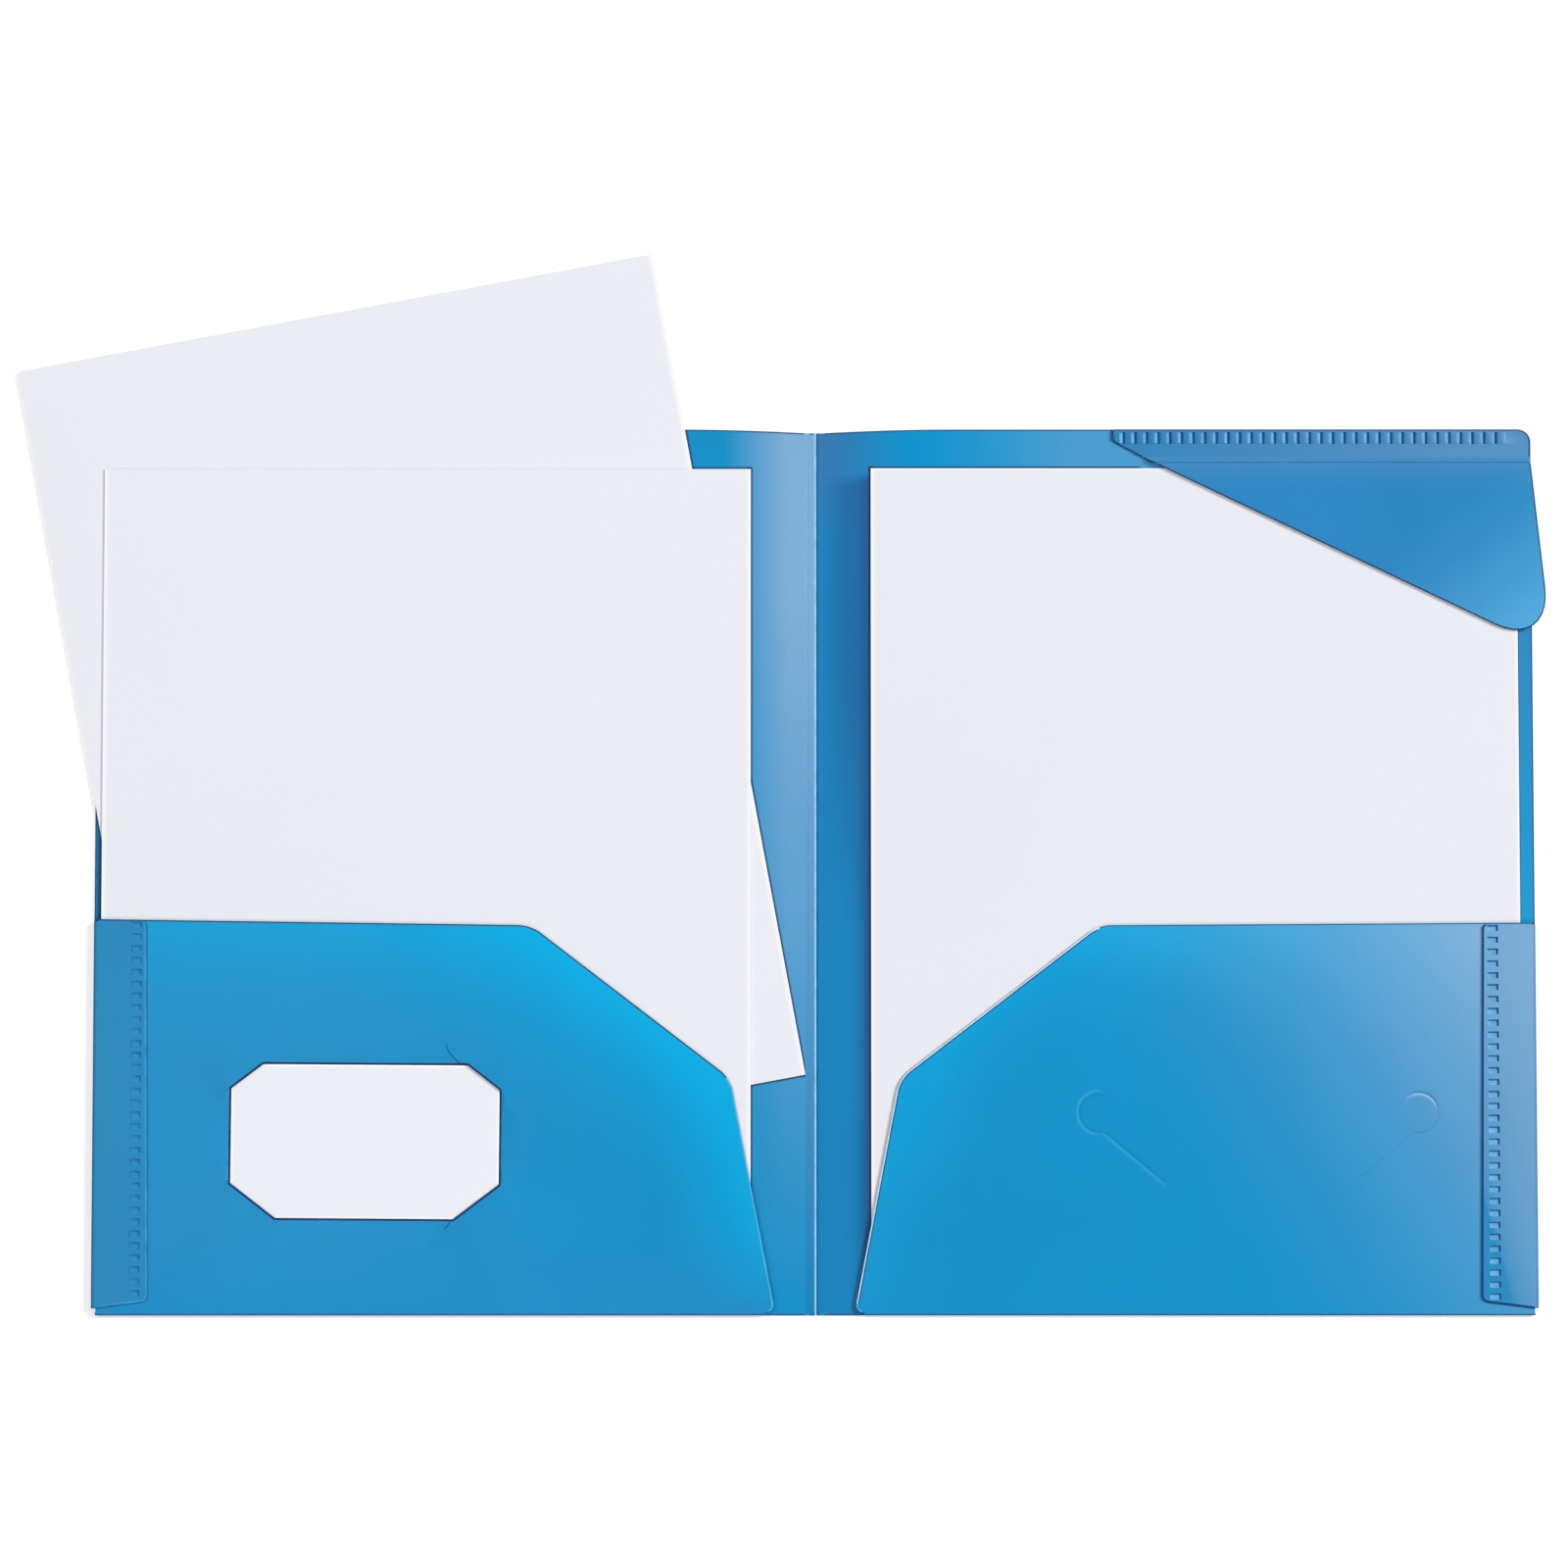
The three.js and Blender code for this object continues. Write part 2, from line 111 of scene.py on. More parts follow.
# Side tabs
TAB_TOP_WIDTH = 17.8
TAB_FOOT_WIDTH = 19.1
TAB_FOOT_SLANT = 2.2
TAB_TOP_RADIUS = 1.3
TAB_FOOT_RADIUS = 2.5
DASH_LENGTH = 3.6
DASH_WIDTH = 2.1
DASH_PITCH = 3.93
DASH_INSET = 14.4
DASH_TOP_DROP = 1.2
DASH_FOOT_ROOM = 2.6
DASH_WALL = 0.6
DASH_DEPTH = 0.4
TAB_RIM = 0.6  # the right tab's inner edge, in painted shade, is the boldest of them

# Flap and its strip
FLAP_HINGE_LENGTH = 127.8
STRIP_TIP_HEIGHT = 3.8
STRIP_TIP_RADIUS = 1.4
STRIP_CORNER = 4.2
FLAP_CORNER_RADIUS = 12
FLAP_OVERHANG = 6.7
FLAP_CORNER_DROP = 64.4
FLAP_WEB = 1  # from the hinge line to where the level film begins
FLAP_WEB_LINES = 10
FLAP_RIDGE = 0.22  # how far the fold stands up beyond the flap
RIDGE_PLACE = 0.7  # its highest line, as a share of the way over the fold
RIDGE_HALF = 0.3
FOLD_LINE_START = 165  # from here outwards the fold shows a line of painted shade
FOLD_LINE_TOP = 0.84  # as shares of the way over the fold
FOLD_LINE_FOOT = 0.98
RIB_WIDTH = 3
RIB_LENGTH = 4
RIB_PITCH = 3.89
RIB_TOP_DROP = 0.9
RIB_END_ROOM = 9.35
RIB_WALL = 0.35
RIB_HEIGHT = 0.25  # low enough for the flap to lie over them when it is turned up
RIB_SINK = 0.28  # how far the film is pressed down between the ribs
RIB_STEPS = 6
RIB_LIGHT_START = 0.15  # the lit side of a rib, from its middle, in widths of a rib
RIB_LIGHT_END = 0.45

# Card and its slits
CARD_WIDTH = 88.9
CARD_HEIGHT = 50.8
CARD_TURN = -0.4
SLIT_ANGLE = 37.4
TOP_SLIT_DEPTH = 6.4
FOOT_SLIT_DEPTH = 9.1
CARD_SINK = 0.22  # how far the card presses the pocket's film down
CARD_CLEAR = 0.03
CARD_BEVEL = 0.05
CARD_SHADE = 0.72  # width of the dark line around the card
SLIT_ROOM = 1.5  # from the card's outline to where a slit closes
CORNER_REACH = 5  # from the card's outline to level film, beside a slit's end
CORNER_SPREAD = 0.9  # growth of that reach with the distance from the slit
SLIT_SOFTNESS = 5  # how far the film inside a slit's end is drawn up with it
CORNER_GRID = 1.1
CREASE_LINE = 0.3
CARD_CREASES = (
    ((-122.4, -58.0), (-121.4, -60.6)),
    ((-121.4, -60.6), (-116.8, -65.2)),
    ((-122.6, -119.0), (-120.8, -116.8)),
)

# Empty card slits of the right pocket
HOLDER_INSET = 92.4
HOLDER_LIFT = 67
TONGUE_REACH = 53.1
TONGUE_RADIUS = 6.55
TONGUE_START = -7  # the round cut's ends, in degrees from its top towards the outer side
TONGUE_END = 194
CUT_DROP = 18.1  # the straight cut that runs on from it
CUT_RUN = 21.7
SLIT_WIDTH = 0.06
TONGUE_GRID = 1.25
TONGUE_LIFTS = ((-1, -0.22), (1, 0.32))  # the left tongue hangs in a little, the right one stands out

# Letter sheets
SHEET_WIDTH = 215.9
SHEET_HEIGHT = 279.4
TILT = 10.6
COLUMNS = 36
ROWS = 44


def ease(share):
    """A smooth step from 0 to 1."""
    share = min(1.0, max(0.0, share))
    return share * share * (3 - 2 * share)


# Finishes


def screen(red, green, blue):
    """A colour as a screen shows it, 0 to 255, in linear values."""
    shares = [value / 255 for value in (red, green, blue)]
    linear = [s / 12.92 if s <= 0.04045 else ((s + 0.055) / 1.055) ** 2.4 for s in shares]
    return (*linear, 1.0)


MID_BLUE = screen(8, 143, 198)
LEFT_BLUE = screen(36, 144, 198)
RIGHT_BLUE = screen(16, 143, 199)
STRIP_BLUE = screen(0, 148, 204)
OUTER_BLUE = screen(30, 152, 206)
WELD_STRIP_BLUE = screen(50, 131, 183)
# painted glow: brighter cyan standing in for light through the film near the pockets' edges
PAINTED_GLOW_CYAN = screen(0, 174, 228)
GREY_SHEEN = screen(134, 176, 212)
COVER_SHEEN = screen(126, 173, 212)
TOP_SHEEN = screen(88, 158, 205)
FOLD_SHEEN = screen(116, 160, 202)
TAB_BLUE = screen(42, 137, 189)
FOOT_BLUE = screen(28, 141, 198)
# painted shade: the darker blue right of the spine, where the film slopes away from the lamp
SHADED_SPINE_BLUE = screen(22, 131, 188)
SLATE_BLUE = screen(52, 121, 178)
# painted contact shadows along the sheets' edges
CONTACT_SHADOW_NAVY = screen(36, 62, 104)
# painted light and shade along the tongues' cuts
CUT_GLOW = screen(50, 168, 222)
CUT_SHADE = screen(8, 128, 182)
CUT_SHADOW = screen(62, 122, 176)
CUT_HIGHLIGHT = screen(160, 198, 234)
SHADE_BLUE = screen(32, 92, 148)
FLAP_BLUE = screen(42, 133, 192)
FLAP_SHEEN = screen(78, 165, 215)
# painted sheen, greyer, on the flap by its fold and along the weld strip
FLAP_GREY_SHEEN = screen(84, 142, 189)
# the dark navy of the cut edges, also used for painted shade lines along the folds' rounded edges
EDGE_NAVY = screen(34, 66, 112)
SHEET_WHITE = screen(234, 235, 240)
RIGHT_SHEET_WHITE = screen(232, 233, 238)
CARD_WHITE = screen(237, 238, 243)
# painted highlight along the edges of the sheets and the card
HIGHLIGHT_WHITE = screen(250, 250, 253)
PAPER_TOOTH = 0.02  # how deep the fine tooth of the sheets and of the card is
CARD_TOOTH = 0.01


class Nodes:
    """A tree of nodes under construction."""

    def __init__(self, tree):
        self.nodes = tree.nodes
        self.links = tree.links

    def feed(self, socket, value):
        """Gives a socket another node's output or a value of its own."""
        if isinstance(value, bpy.types.NodeSocket):
            self.links.new(value, socket)
        else:
            socket.default_value = value

    def add(self, kind, inputs=None, **settings):
        node = self.nodes.new(kind)
        for name, value in settings.items():
            setattr(node, name, value)
        for name, value in (inputs or {}).items():
            self.feed(node.inputs[name], value)
        return node


class Finish(Nodes):
    """A material under construction, with the piece's own coordinates."""

    def __init__(self, name):
        self.material = bpy.data.materials.new(name)
        self.material.use_nodes = True
        super().__init__(self.material.node_tree)
        self.shader = self.nodes["Principled BSDF"]
        self.place = self.add("ShaderNodeTexCoord").outputs["Object"]

    def surface(self, colour, roughness, specular):
        self.feed(self.shader.inputs["Base Color"], colour)
        self.feed(self.shader.inputs["Roughness"], roughness)
        self.feed(self.shader.inputs["Specular IOR Level"], specular)

    def math(self, operation, first, second=0.0, clamp=False):
        inputs = {0: first, 1: second}
        return self.add("ShaderNodeMath", inputs, operation=operation, use_clamp=clamp).outputs[0]

    def vector(self, operation, first, second):
        return self.add("ShaderNodeVectorMath", {0: first, 1: second}, operation=operation).outputs

    def noise(self, scale, stretch=(1, 1, 1)):
        mapping = self.add("ShaderNodeMapping", {"Vector": self.place, "Scale": stretch})
        inputs = {"Vector": mapping.outputs[0], "Scale": scale, "Detail": 3.0}
        return self.add("ShaderNodeTexNoise", inputs).outputs["Fac"]

    def spread(self, value, low, high):
        """Brings a noise from its usual middle range to another."""
        inputs = {"Value": value, "From Min": 0.3, "From Max": 0.7, "To Min": low, "To Max": high}
        return self.add("ShaderNodeMapRange", inputs).outputs["Result"]

    def ramp(self, start, end, power=1.0):
        """Grows from 0 at one point to 1 at another, points in millimetres."""
        start, end = Vector((*start, 0)) * MM, Vector((*end, 0)) * MM
        along = (end - start) / (end - start).length_squared
        dot = self.vector("DOT_PRODUCT", self.place, along)["Value"]
        share = self.math("SUBTRACT", dot, start.dot(along), clamp=True)
        return self.math("POWER", share, power)

    def ring(self, centre, radius, width, power=1.0):
        """A circle's line, 1 on the circle and 0 from the width away, in millimetres."""
        flat = self.vector("MULTIPLY", self.place, (1, 1, 0))["Vector"]
        away = self.vector("DISTANCE", flat, Vector((*centre, 0)) * MM)["Value"]
        off = self.math("ABSOLUTE", self.math("SUBTRACT", away, radius * MM))
        share = self.math("SUBTRACT", 1.0, self.math("DIVIDE", off, width * MM), clamp=True)
        return self.math("POWER", share, power)

    def share(self, shape, *values):
        """The share that one part of a layer gives: a ramp, or a ring where its first word says so."""
        if shape == "ring":
            return self.ring(*values)
        return self.ramp(shape, *values)

    def mix(self, share, first, second, blend="MIX"):
        inputs = {"Factor": share, "A": first, "B": second}
        node = self.add("ShaderNodeMix", inputs, data_type="RGBA", blend_type=blend)
        return node.outputs["Result"]

    def clouded(self, colour, scale, swing, stretch=(1, 1, 1)):
        """Varies a colour's brightness by a noise, up and down by a share of it."""
        noise = self.spread(self.noise(scale, stretch), 1 - swing, 1 + swing)
        return self.mix(1.0, colour, noise, "MULTIPLY")

    def bump(self, height, distance, strength):
        inputs = {"Strength": strength, "Distance": distance * MM, "Height": height}
        node = self.add("ShaderNodeBump", inputs)
        self.feed(self.shader.inputs["Normal"], node.outputs["Normal"])


def satin_film(name, colour, *layers):
    """Polypropylene film. A layer is a colour, its greatest share and the ramps that it grows by."""
    finish = Finish(name)
    for tint, amount, first, *others in layers:
        share = finish.math("MULTIPLY", finish.share(*first), amount)
        for ramp in others:
            share = finish.math("MULTIPLY", share, finish.share(*ramp))
        colour = finish.mix(share, colour, tint)
    rough = finish.spread(finish.noise(60, stretch=(1, 0.3, 1)), low=0.38, high=0.46)
    mottled = finish.clouded(colour, scale=14, swing=0.025)
    finish.surface(mottled, roughness=rough, specular=0.14)
    finish.bump(finish.noise(2200), distance=0.02, strength=0.35)
    return finish.material


def edge_film(name, tint):
    """A film colour for a narrow band: a cut edge, or the painted highlight or shade of an edge, a groove
    or a weld mark.
    """
    finish = Finish(name)
    uneven = finish.clouded(tint, scale=180, swing=0.15)
    finish.surface(uneven, roughness=0.5, specular=0.15)
    return finish.material


def plain_paper(name, white, tooth, *highlights):
    """Uncoated paper, faintly clouded, with a fine tooth. Each of the highlights is the ramp of a painted
    highlight along an edge.
    """
    finish = Finish(name)
    clouds = finish.clouded(white, scale=9, swing=0.005)
    colour = finish.clouded(clouds, scale=900, swing=0.006, stretch=(1, 3, 1))
    for rim in highlights:
        colour = finish.mix(finish.ramp(*rim), colour, HIGHLIGHT_WHITE)
    finish.surface(colour, roughness=0.85, specular=0.15)
    finish.bump(finish.noise(1500), distance=tooth, strength=0.3)
    return finish.material


# Ways of shaping a piece


def rest_selection():
    """Object mode with nothing selected."""
    if bpy.context.mode != "OBJECT":
        bpy.ops.object.mode_set(mode="OBJECT")
    bpy.ops.object.select_all(action="DESELECT")


def choose(piece):
    """Leaves one piece alone selected."""
    rest_selection()
    piece.select_set(True)
    bpy.context.view_layer.objects.active = piece


@contextmanager
def shaping(piece):
    """Edit mode on one piece."""
    choose(piece)
    bpy.ops.object.mode_set(mode="EDIT")
    yield
    bpy.ops.object.mode_set(mode="OBJECT")


def take_up(name, materials, scale=(1, 1, 1)):
    """Names a primitive that was just added, settles its size and place, and gives it its finishes."""
    piece = bpy.context.object
    piece.name = name
    piece.data.name = name
    piece.scale = scale
    bpy.ops.object.transform_apply(location=True, rotation=True, scale=True)
    for material in materials:
        piece.data.materials.append(material)
    return piece


def flat_piece(name, near, far, height, materials):
    """A rectangle between two corners, added at its size and place."""
    middle = (Vector(near) + Vector(far)) / 2
    rest_selection()
    bpy.ops.mesh.primitive_plane_add(size=1, location=(*middle, height))
    return take_up(name, materials, (abs(far[0] - near[0]), abs(far[1] - near[1]), 1))


def evenly(start, end, steps):
    """The places that divide the way from start to end into equal steps, with both ends."""
    return [start + (end - start) * step / steps for step in range(steps + 1)]


def select_all():
    bpy.ops.mesh.select_all(action="SELECT")


@contextmanager
def mesh_of(piece):
    """The mesh of a piece in edit mode, put back when the changes are made."""
    yield bmesh.from_edit_mesh(piece.data)
    bmesh.update_edit_mesh(piece.data)


def middle_of(item):
    if isinstance(item, bmesh.types.BMVert):
        return item.co
    if isinstance(item, bmesh.types.BMEdge):
        return (item.verts[0].co + item.verts[1].co) / 2
    return item.calc_center_median()


def select_none(kind):
    """Sets what is picked next, corners, edges or faces, with none of them picked yet."""
    bpy.ops.mesh.select_mode(type=kind)
    bpy.ops.mesh.select_all(action="DESELECT")


def pick(piece, kind, wanted):
    """Selects the corners, edges or faces that a test wants, by their middle."""
    select_none(kind)
    with mesh_of(piece) as mesh:
        items = {"VERT": mesh.verts, "EDGE": mesh.edges, "FACE": mesh.faces}[kind]
        for item in items:
            if wanted(item, middle_of(item)):
                item.select_set(True)
        mesh.select_flush_mode()


def trim(start, end, keep):
    """Cuts along the line through two points and keeps the side that holds a third."""
    along = Vector(end) - Vector(start)
    outward = Vector((along.y, -along.x)).normalized()
    if outward.dot(Vector(keep) - Vector(start)) > 0:
        outward.negate()
    select_all()
    bpy.ops.mesh.bisect(
        plane_co=(*start, 0), plane_no=(*outward, 0), clear_outer=True, threshold=TOUCH
    )


def score(point, across):
    """Draws a straight line over what is selected, as new edges."""
    bpy.ops.mesh.bisect(plane_co=(*point, 0), plane_no=(*across, 0), threshold=TOUCH)


def score_rows(places):
    """Lines along X at the given places along Y, over the whole piece."""
    for y in places:
        select_all()
        score((0, y), (0, 1))


def score_columns(places):
    """Lines along Y at the given places along X, over the whole piece."""
    for x in places:
        select_all()
        score((x, 0), (1, 0))


def score_patch(piece, origin, along, across, along_places, across_places):
    """A grid of lines over a slanted patch alone, its places measured from an origin."""

    def in_patch(face, middle):
        out = middle.xy - origin
        inside_along = along_places[0] < out.dot(along) < along_places[-1]
        return inside_along and across_places[0] < out.dot(across) < across_places[-1]

    for places, way in ((along_places, along), (across_places, across)):
        for place in (places[0], places[-1]):
            select_all()
            score(origin + way * place, way)
    for places, way in ((along_places, along), (across_places, across)):
        for place in places[1:-1]:
            pick(piece, "FACE", in_patch)
            score(origin + way * place, way)


def round_corner(piece, corner, radius):
    """Rounds the corner nearest to a point."""
    select_none("VERT")
    with mesh_of(piece) as mesh:
        vertex = min(mesh.verts, key=lambda v: (v.co.xy - Vector(corner)).length)
        ahead, back = [edge.other_vert(vertex).co - vertex.co for edge in vertex.link_edges]
        tangent = radius / math.tan(ahead.angle(back) / 2)
        vertex.select_set(True)
    bpy.ops.mesh.bevel(
        offset=tangent, segments=CORNER_STEPS, affect="VERTICES", clamp_overlap=False
    )


def finish_rim(piece, on_seam, looks=None, width=RIM):
    """Draws two bands along the cut edges and rolls them down. The looks tell both bands' finishes.

    Without looks, the outer band has the last finish and the inner one that of the film.
    """
    looks = looks or (lambda middle: (len(piece.data.materials) - 1, 0))
    bpy.ops.mesh.select_mode(type="FACE")
    select_all()
    for band, thickness, slack in ((0, width, width), (1, SUPPORT, width + SUPPORT)):
        bpy.ops.mesh.inset(thickness=thickness, use_even_offset=True, use_boundary=True)
        with mesh_of(piece) as mesh:
            for face in mesh.faces:
                middle = face.calc_center_median()
                in_band = not face.select and face.material_index == 0
                if in_band and not on_seam(middle, slack):
                    face.material_index = looks(middle)[band]
    pick(piece, "VERT", lambda v, middle: v.is_boundary and not on_seam(middle, TOUCH))
    bpy.ops.transform.translate(value=(0, 0, -RIM_DROP))


def apply_modifier(piece, kind, **settings):
    choose(piece)
    modifier = piece.modifiers.new(kind.lower(), kind)
    for name, value in settings.items():
        setattr(modifier, name, value)
    bpy.ops.object.modifier_apply(modifier=modifier.name)


def lift(piece, height, share_of):
    """Moves each point up by its share of a height, told from the point and what lies beside it."""
    sums = {vertex.index: [Vector(), 0] for vertex in piece.data.vertices}
    for face in piece.data.polygons:
        for index in face.vertices:
            sums[index][0] += face.center
            sums[index][1] += 1
    group = piece.vertex_groups.new(name="lift")
    for vertex in piece.data.vertices:
        total, count = sums[vertex.index]
        group.add([vertex.index], share_of(vertex.co, total / count), "REPLACE")
    apply_modifier(
        piece, "DISPLACE", direction="Z", strength=height, mid_level=0, vertex_group=group.name
    )
    piece.vertex_groups.clear()


def thicken(piece, thickness):
    """Gives a sheet its thickness, downwards, with the last finish on its sides."""
    last = len(piece.data.materials) - 1
    apply_modifier(piece, "SOLIDIFY", thickness=thickness, offset=-1, material_offset_rim=last)


def paint(piece, look, wanted):
    """Gives the faces that a test wants, by their middle, another of the piece's finishes."""
    with mesh_of(piece) as mesh:
        for face in mesh.faces:
            if wanted(face.calc_center_median()):
                face.material_index = look


def stand_on(piece, bottom, look=0):
    """Closes a sheet into a solid with a level underside, which takes the finish of that number."""
    with shaping(piece):
        select_all()
        bpy.ops.mesh.region_to_loop()
        bpy.ops.mesh.extrude_edges_move()
        bpy.ops.transform.resize(value=(1, 1, 0), center_override=(0, 0, bottom))
        bpy.ops.mesh.edge_face_add()
        select_all()
        bpy.ops.mesh.normals_make_consistent(inside=False)
        paint(piece, look, lambda middle: middle.z < bottom + TOUCH)


def put_on(piece, body, slot, *nodes):
    """Brings a finished piece to metres and lets it ride where the nodes that it stands for ride."""
    choose(piece)
    bpy.ops.object.shade_smooth_by_angle(angle=SMOOTH_ANGLE)
    piece.data.transform(Matrix.Scale(MM, 4))
    if body:
        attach(piece, body)
    if nodes:
        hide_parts(*nodes)


# Camera, light and floor

VIEW_DISTANCE = 1.4
VIEW_TILT = math.radians(3)
VIEW_CENTRE = Vector((-0.0102, 0.0287, 0))
VIEW_WIDTH = 0.5228  # of the table, across the picture
SENSOR = 36
FLOOR_SIZE = 3
FLOOR_GAP = 0.0001
FLOOR_WHITE = (0.86, 0.86, 0.87, 1)
FLOOR_GLOW = 0.35
ROOM_GREY = (0.18, 0.18, 0.183, 1)
WHITE = (1, 1, 1, 1)


def set_camera():
    data = bpy.data.cameras.new("camera")
    data.sensor_width = SENSOR
    data.lens = SENSOR * VIEW_DISTANCE / VIEW_WIDTH
    camera = bpy.data.objects.new("camera", data)
    back = Vector((0, -math.sin(VIEW_TILT), math.cos(VIEW_TILT)))
    camera.location = VIEW_CENTRE + back * VIEW_DISTANCE
    camera.rotation_euler = (VIEW_TILT, 0, 0)
    bpy.context.scene.collection.objects.link(camera)
    bpy.context.scene.camera = camera


def soft_lamp(name, azimuth, elevation, distance, size, power):
    """A square lamp that faces the middle of the folder. Azimuth 0 is the right side, 90 the top edge."""
    data = bpy.data.lights.new(name, "AREA")
    data.size = size
    data.energy = power
    lamp = bpy.data.objects.new(name, data)
    turn, rise = math.radians(azimuth), math.radians(elevation)
    way = Vector((math.cos(turn) * math.cos(rise), math.sin(turn) * math.cos(rise), math.sin(rise)))
    lamp.location = way * distance
    lamp.rotation_mode = "QUATERNION"
    lamp.rotation_quaternion = way.to_track_quat("Z", "Y")
    bpy.context.scene.collection.objects.link(lamp)


def light_the_table():
    """Three lamps in a dim room that the camera sees as white."""
    soft_lamp("key_right", azimuth=25, elevation=32, distance=6.0, size=1.8, power=310)
    soft_lamp("fill_left", azimuth=150, elevation=50, distance=4.0, size=2.0, power=46)
    soft_lamp("fill_front", azimuth=265, elevation=50, distance=4.0, size=2.0, power=42)
    world = bpy.data.worlds.new("room")
    bpy.context.scene.world = world
    world.use_nodes = True
    room = Nodes(world.node_tree)
    grey = room.nodes["Background"]
    grey.inputs["Color"].default_value = ROOM_GREY
    white = room.add("ShaderNodeBackground", {"Color": WHITE})
    seen = room.add("ShaderNodeLightPath").outputs["Is Camera Ray"]
    mix = room.add("ShaderNodeMixShader", {"Fac": seen, 1: grey.outputs[0], 2: white.outputs[0]})
    room.feed(room.nodes["World Output"].inputs["Surface"], mix.outputs[0])


def white_floor():
    """A pale floor that keeps the folder's shadow and reads as white to the camera."""
    rest_selection()
    bpy.ops.mesh.primitive_plane_add(size=FLOOR_SIZE, location=(0, 0, -FLOOR_GAP))
    finish = Finish("white_floor")
    finish.surface(FLOOR_WHITE, roughness=0.9, specular=0.0)
    path = finish.add("ShaderNodeLightPath").outputs
    seen = finish.math("ADD", path["Is Camera Ray"], path["Is Glossy Ray"])
    seen = finish.math("ADD", seen, path["Is Transmission Ray"], clamp=True)
    strength = finish.math("MULTIPLY", seen, FLOOR_GLOW)
    glow = finish.add("ShaderNodeEmission", {"Color": WHITE, "Strength": strength})
    both = finish.add("ShaderNodeAddShader", {0: finish.shader.outputs[0], 1: glow.outputs[0]})
    finish.feed(finish.nodes["Material Output"].inputs["Surface"], both.outputs[0])
    take_up("floor", [finish.material])


bpy.context.scene.view_settings.view_transform = "Standard"
set_camera()
light_the_table()
white_floor()
# the dark band of a cut edge: the film's darker cut edge, with painted shade
edge = edge_film("cut_edge", EDGE_NAVY)
outside = satin_film("outside_blue", MID_BLUE)
# painted highlights on cut edges that catch the lamp
lit_edge = edge_film("lit_edge", screen(80, 170, 216))
edge_highlight = edge_film("edge_highlight", screen(200, 224, 242))
fine_line = edge_film("fine_line", screen(8, 84, 140))
# painted shade on an edge that faces away from the lamp
edge_in_shade = edge_film("edge_in_shade", screen(0, 58, 118))
groove_shade = edge_film("groove_shade", screen(14, 112, 162))
# painted shade in the grooves between ribs and on the marks' shaded walls
weld_shade = edge_film("weld_shade", screen(0, 80, 140))
# painted highlight on the lit wall of the spine's pressed line
groove_highlight = edge_film("groove_highlight", screen(146, 198, 234))
# painted highlight on the lit floors of the tab's weld marks
mark_highlight = edge_film("mark_highlight", screen(100, 166, 212))
# painted highlight on the lit side of each rib
rib_highlight = edge_film("rib_highlight", screen(96, 160, 208))
mark_shade = edge_film("mark_shade", screen(30, 112, 166))
# painted highlight on the left tab's inner edge, which faces the lamp
soft_edge_highlight = edge_film("soft_edge_highlight", screen(58, 152, 204))
# faint painted shade: the left tab's mark walls and outer rim, and the line below the flap's fold
faint_shade = edge_film("faint_shade", screen(34, 122, 175))
card_shade = edge_film("card_shade", screen(26, 54, 104))


class Side:
    """Where the pieces of one side of the open folder lie, as distances from the middle of the spine."""

    def __init__(self, sign, prefix, body):
        self.sign = sign
        self.prefix = prefix
        self.body = body
        side_fold_low, side_fold_high = reach(prefix + "_side_fold")
        panel_low, panel_high = reach(prefix + "_pocket_panel")
        self.fold_start, self.fold_end = self.span(prefix + "_bottom_fold")
        self.outer = self.span(prefix + "_side_fold")[1]
        self.panel_end = self.span(prefix + "_pocket_panel")[1]
        self.bottom_radius = reach(prefix + "_bottom_fold")[1].z / 2
        self.side_radius = side_fold_high.z / 2
        self.foot_y = panel_low.y
        self.pocket_top = panel_high.y
        self.panel_face = panel_low.z + FILM
        self.tab_face = reach(prefix + "_side_tab")[0].z + FILM
        self.tab_bottom = side_fold_low.y
        self.tab_top = side_fold_high.y

    def span(self, node):
        low, high = reach(node)
        return (low.x, high.x) if self.sign > 0 else (-high.x, -low.x)

    def at(self, out, y):
        """A point by its distance out from the spine's middle."""
        return (self.sign * out, y)

    def out(self, place):
        """How far out from the spine's middle a place lies."""
        return self.sign * place.x


def up(height):
    """A height above the folder's bottom edge, as a place along Y."""
    return BOTTOM + height


left = Side(LEFT, "left", "front_cover")
right = Side(RIGHT, "right", "back_cover")


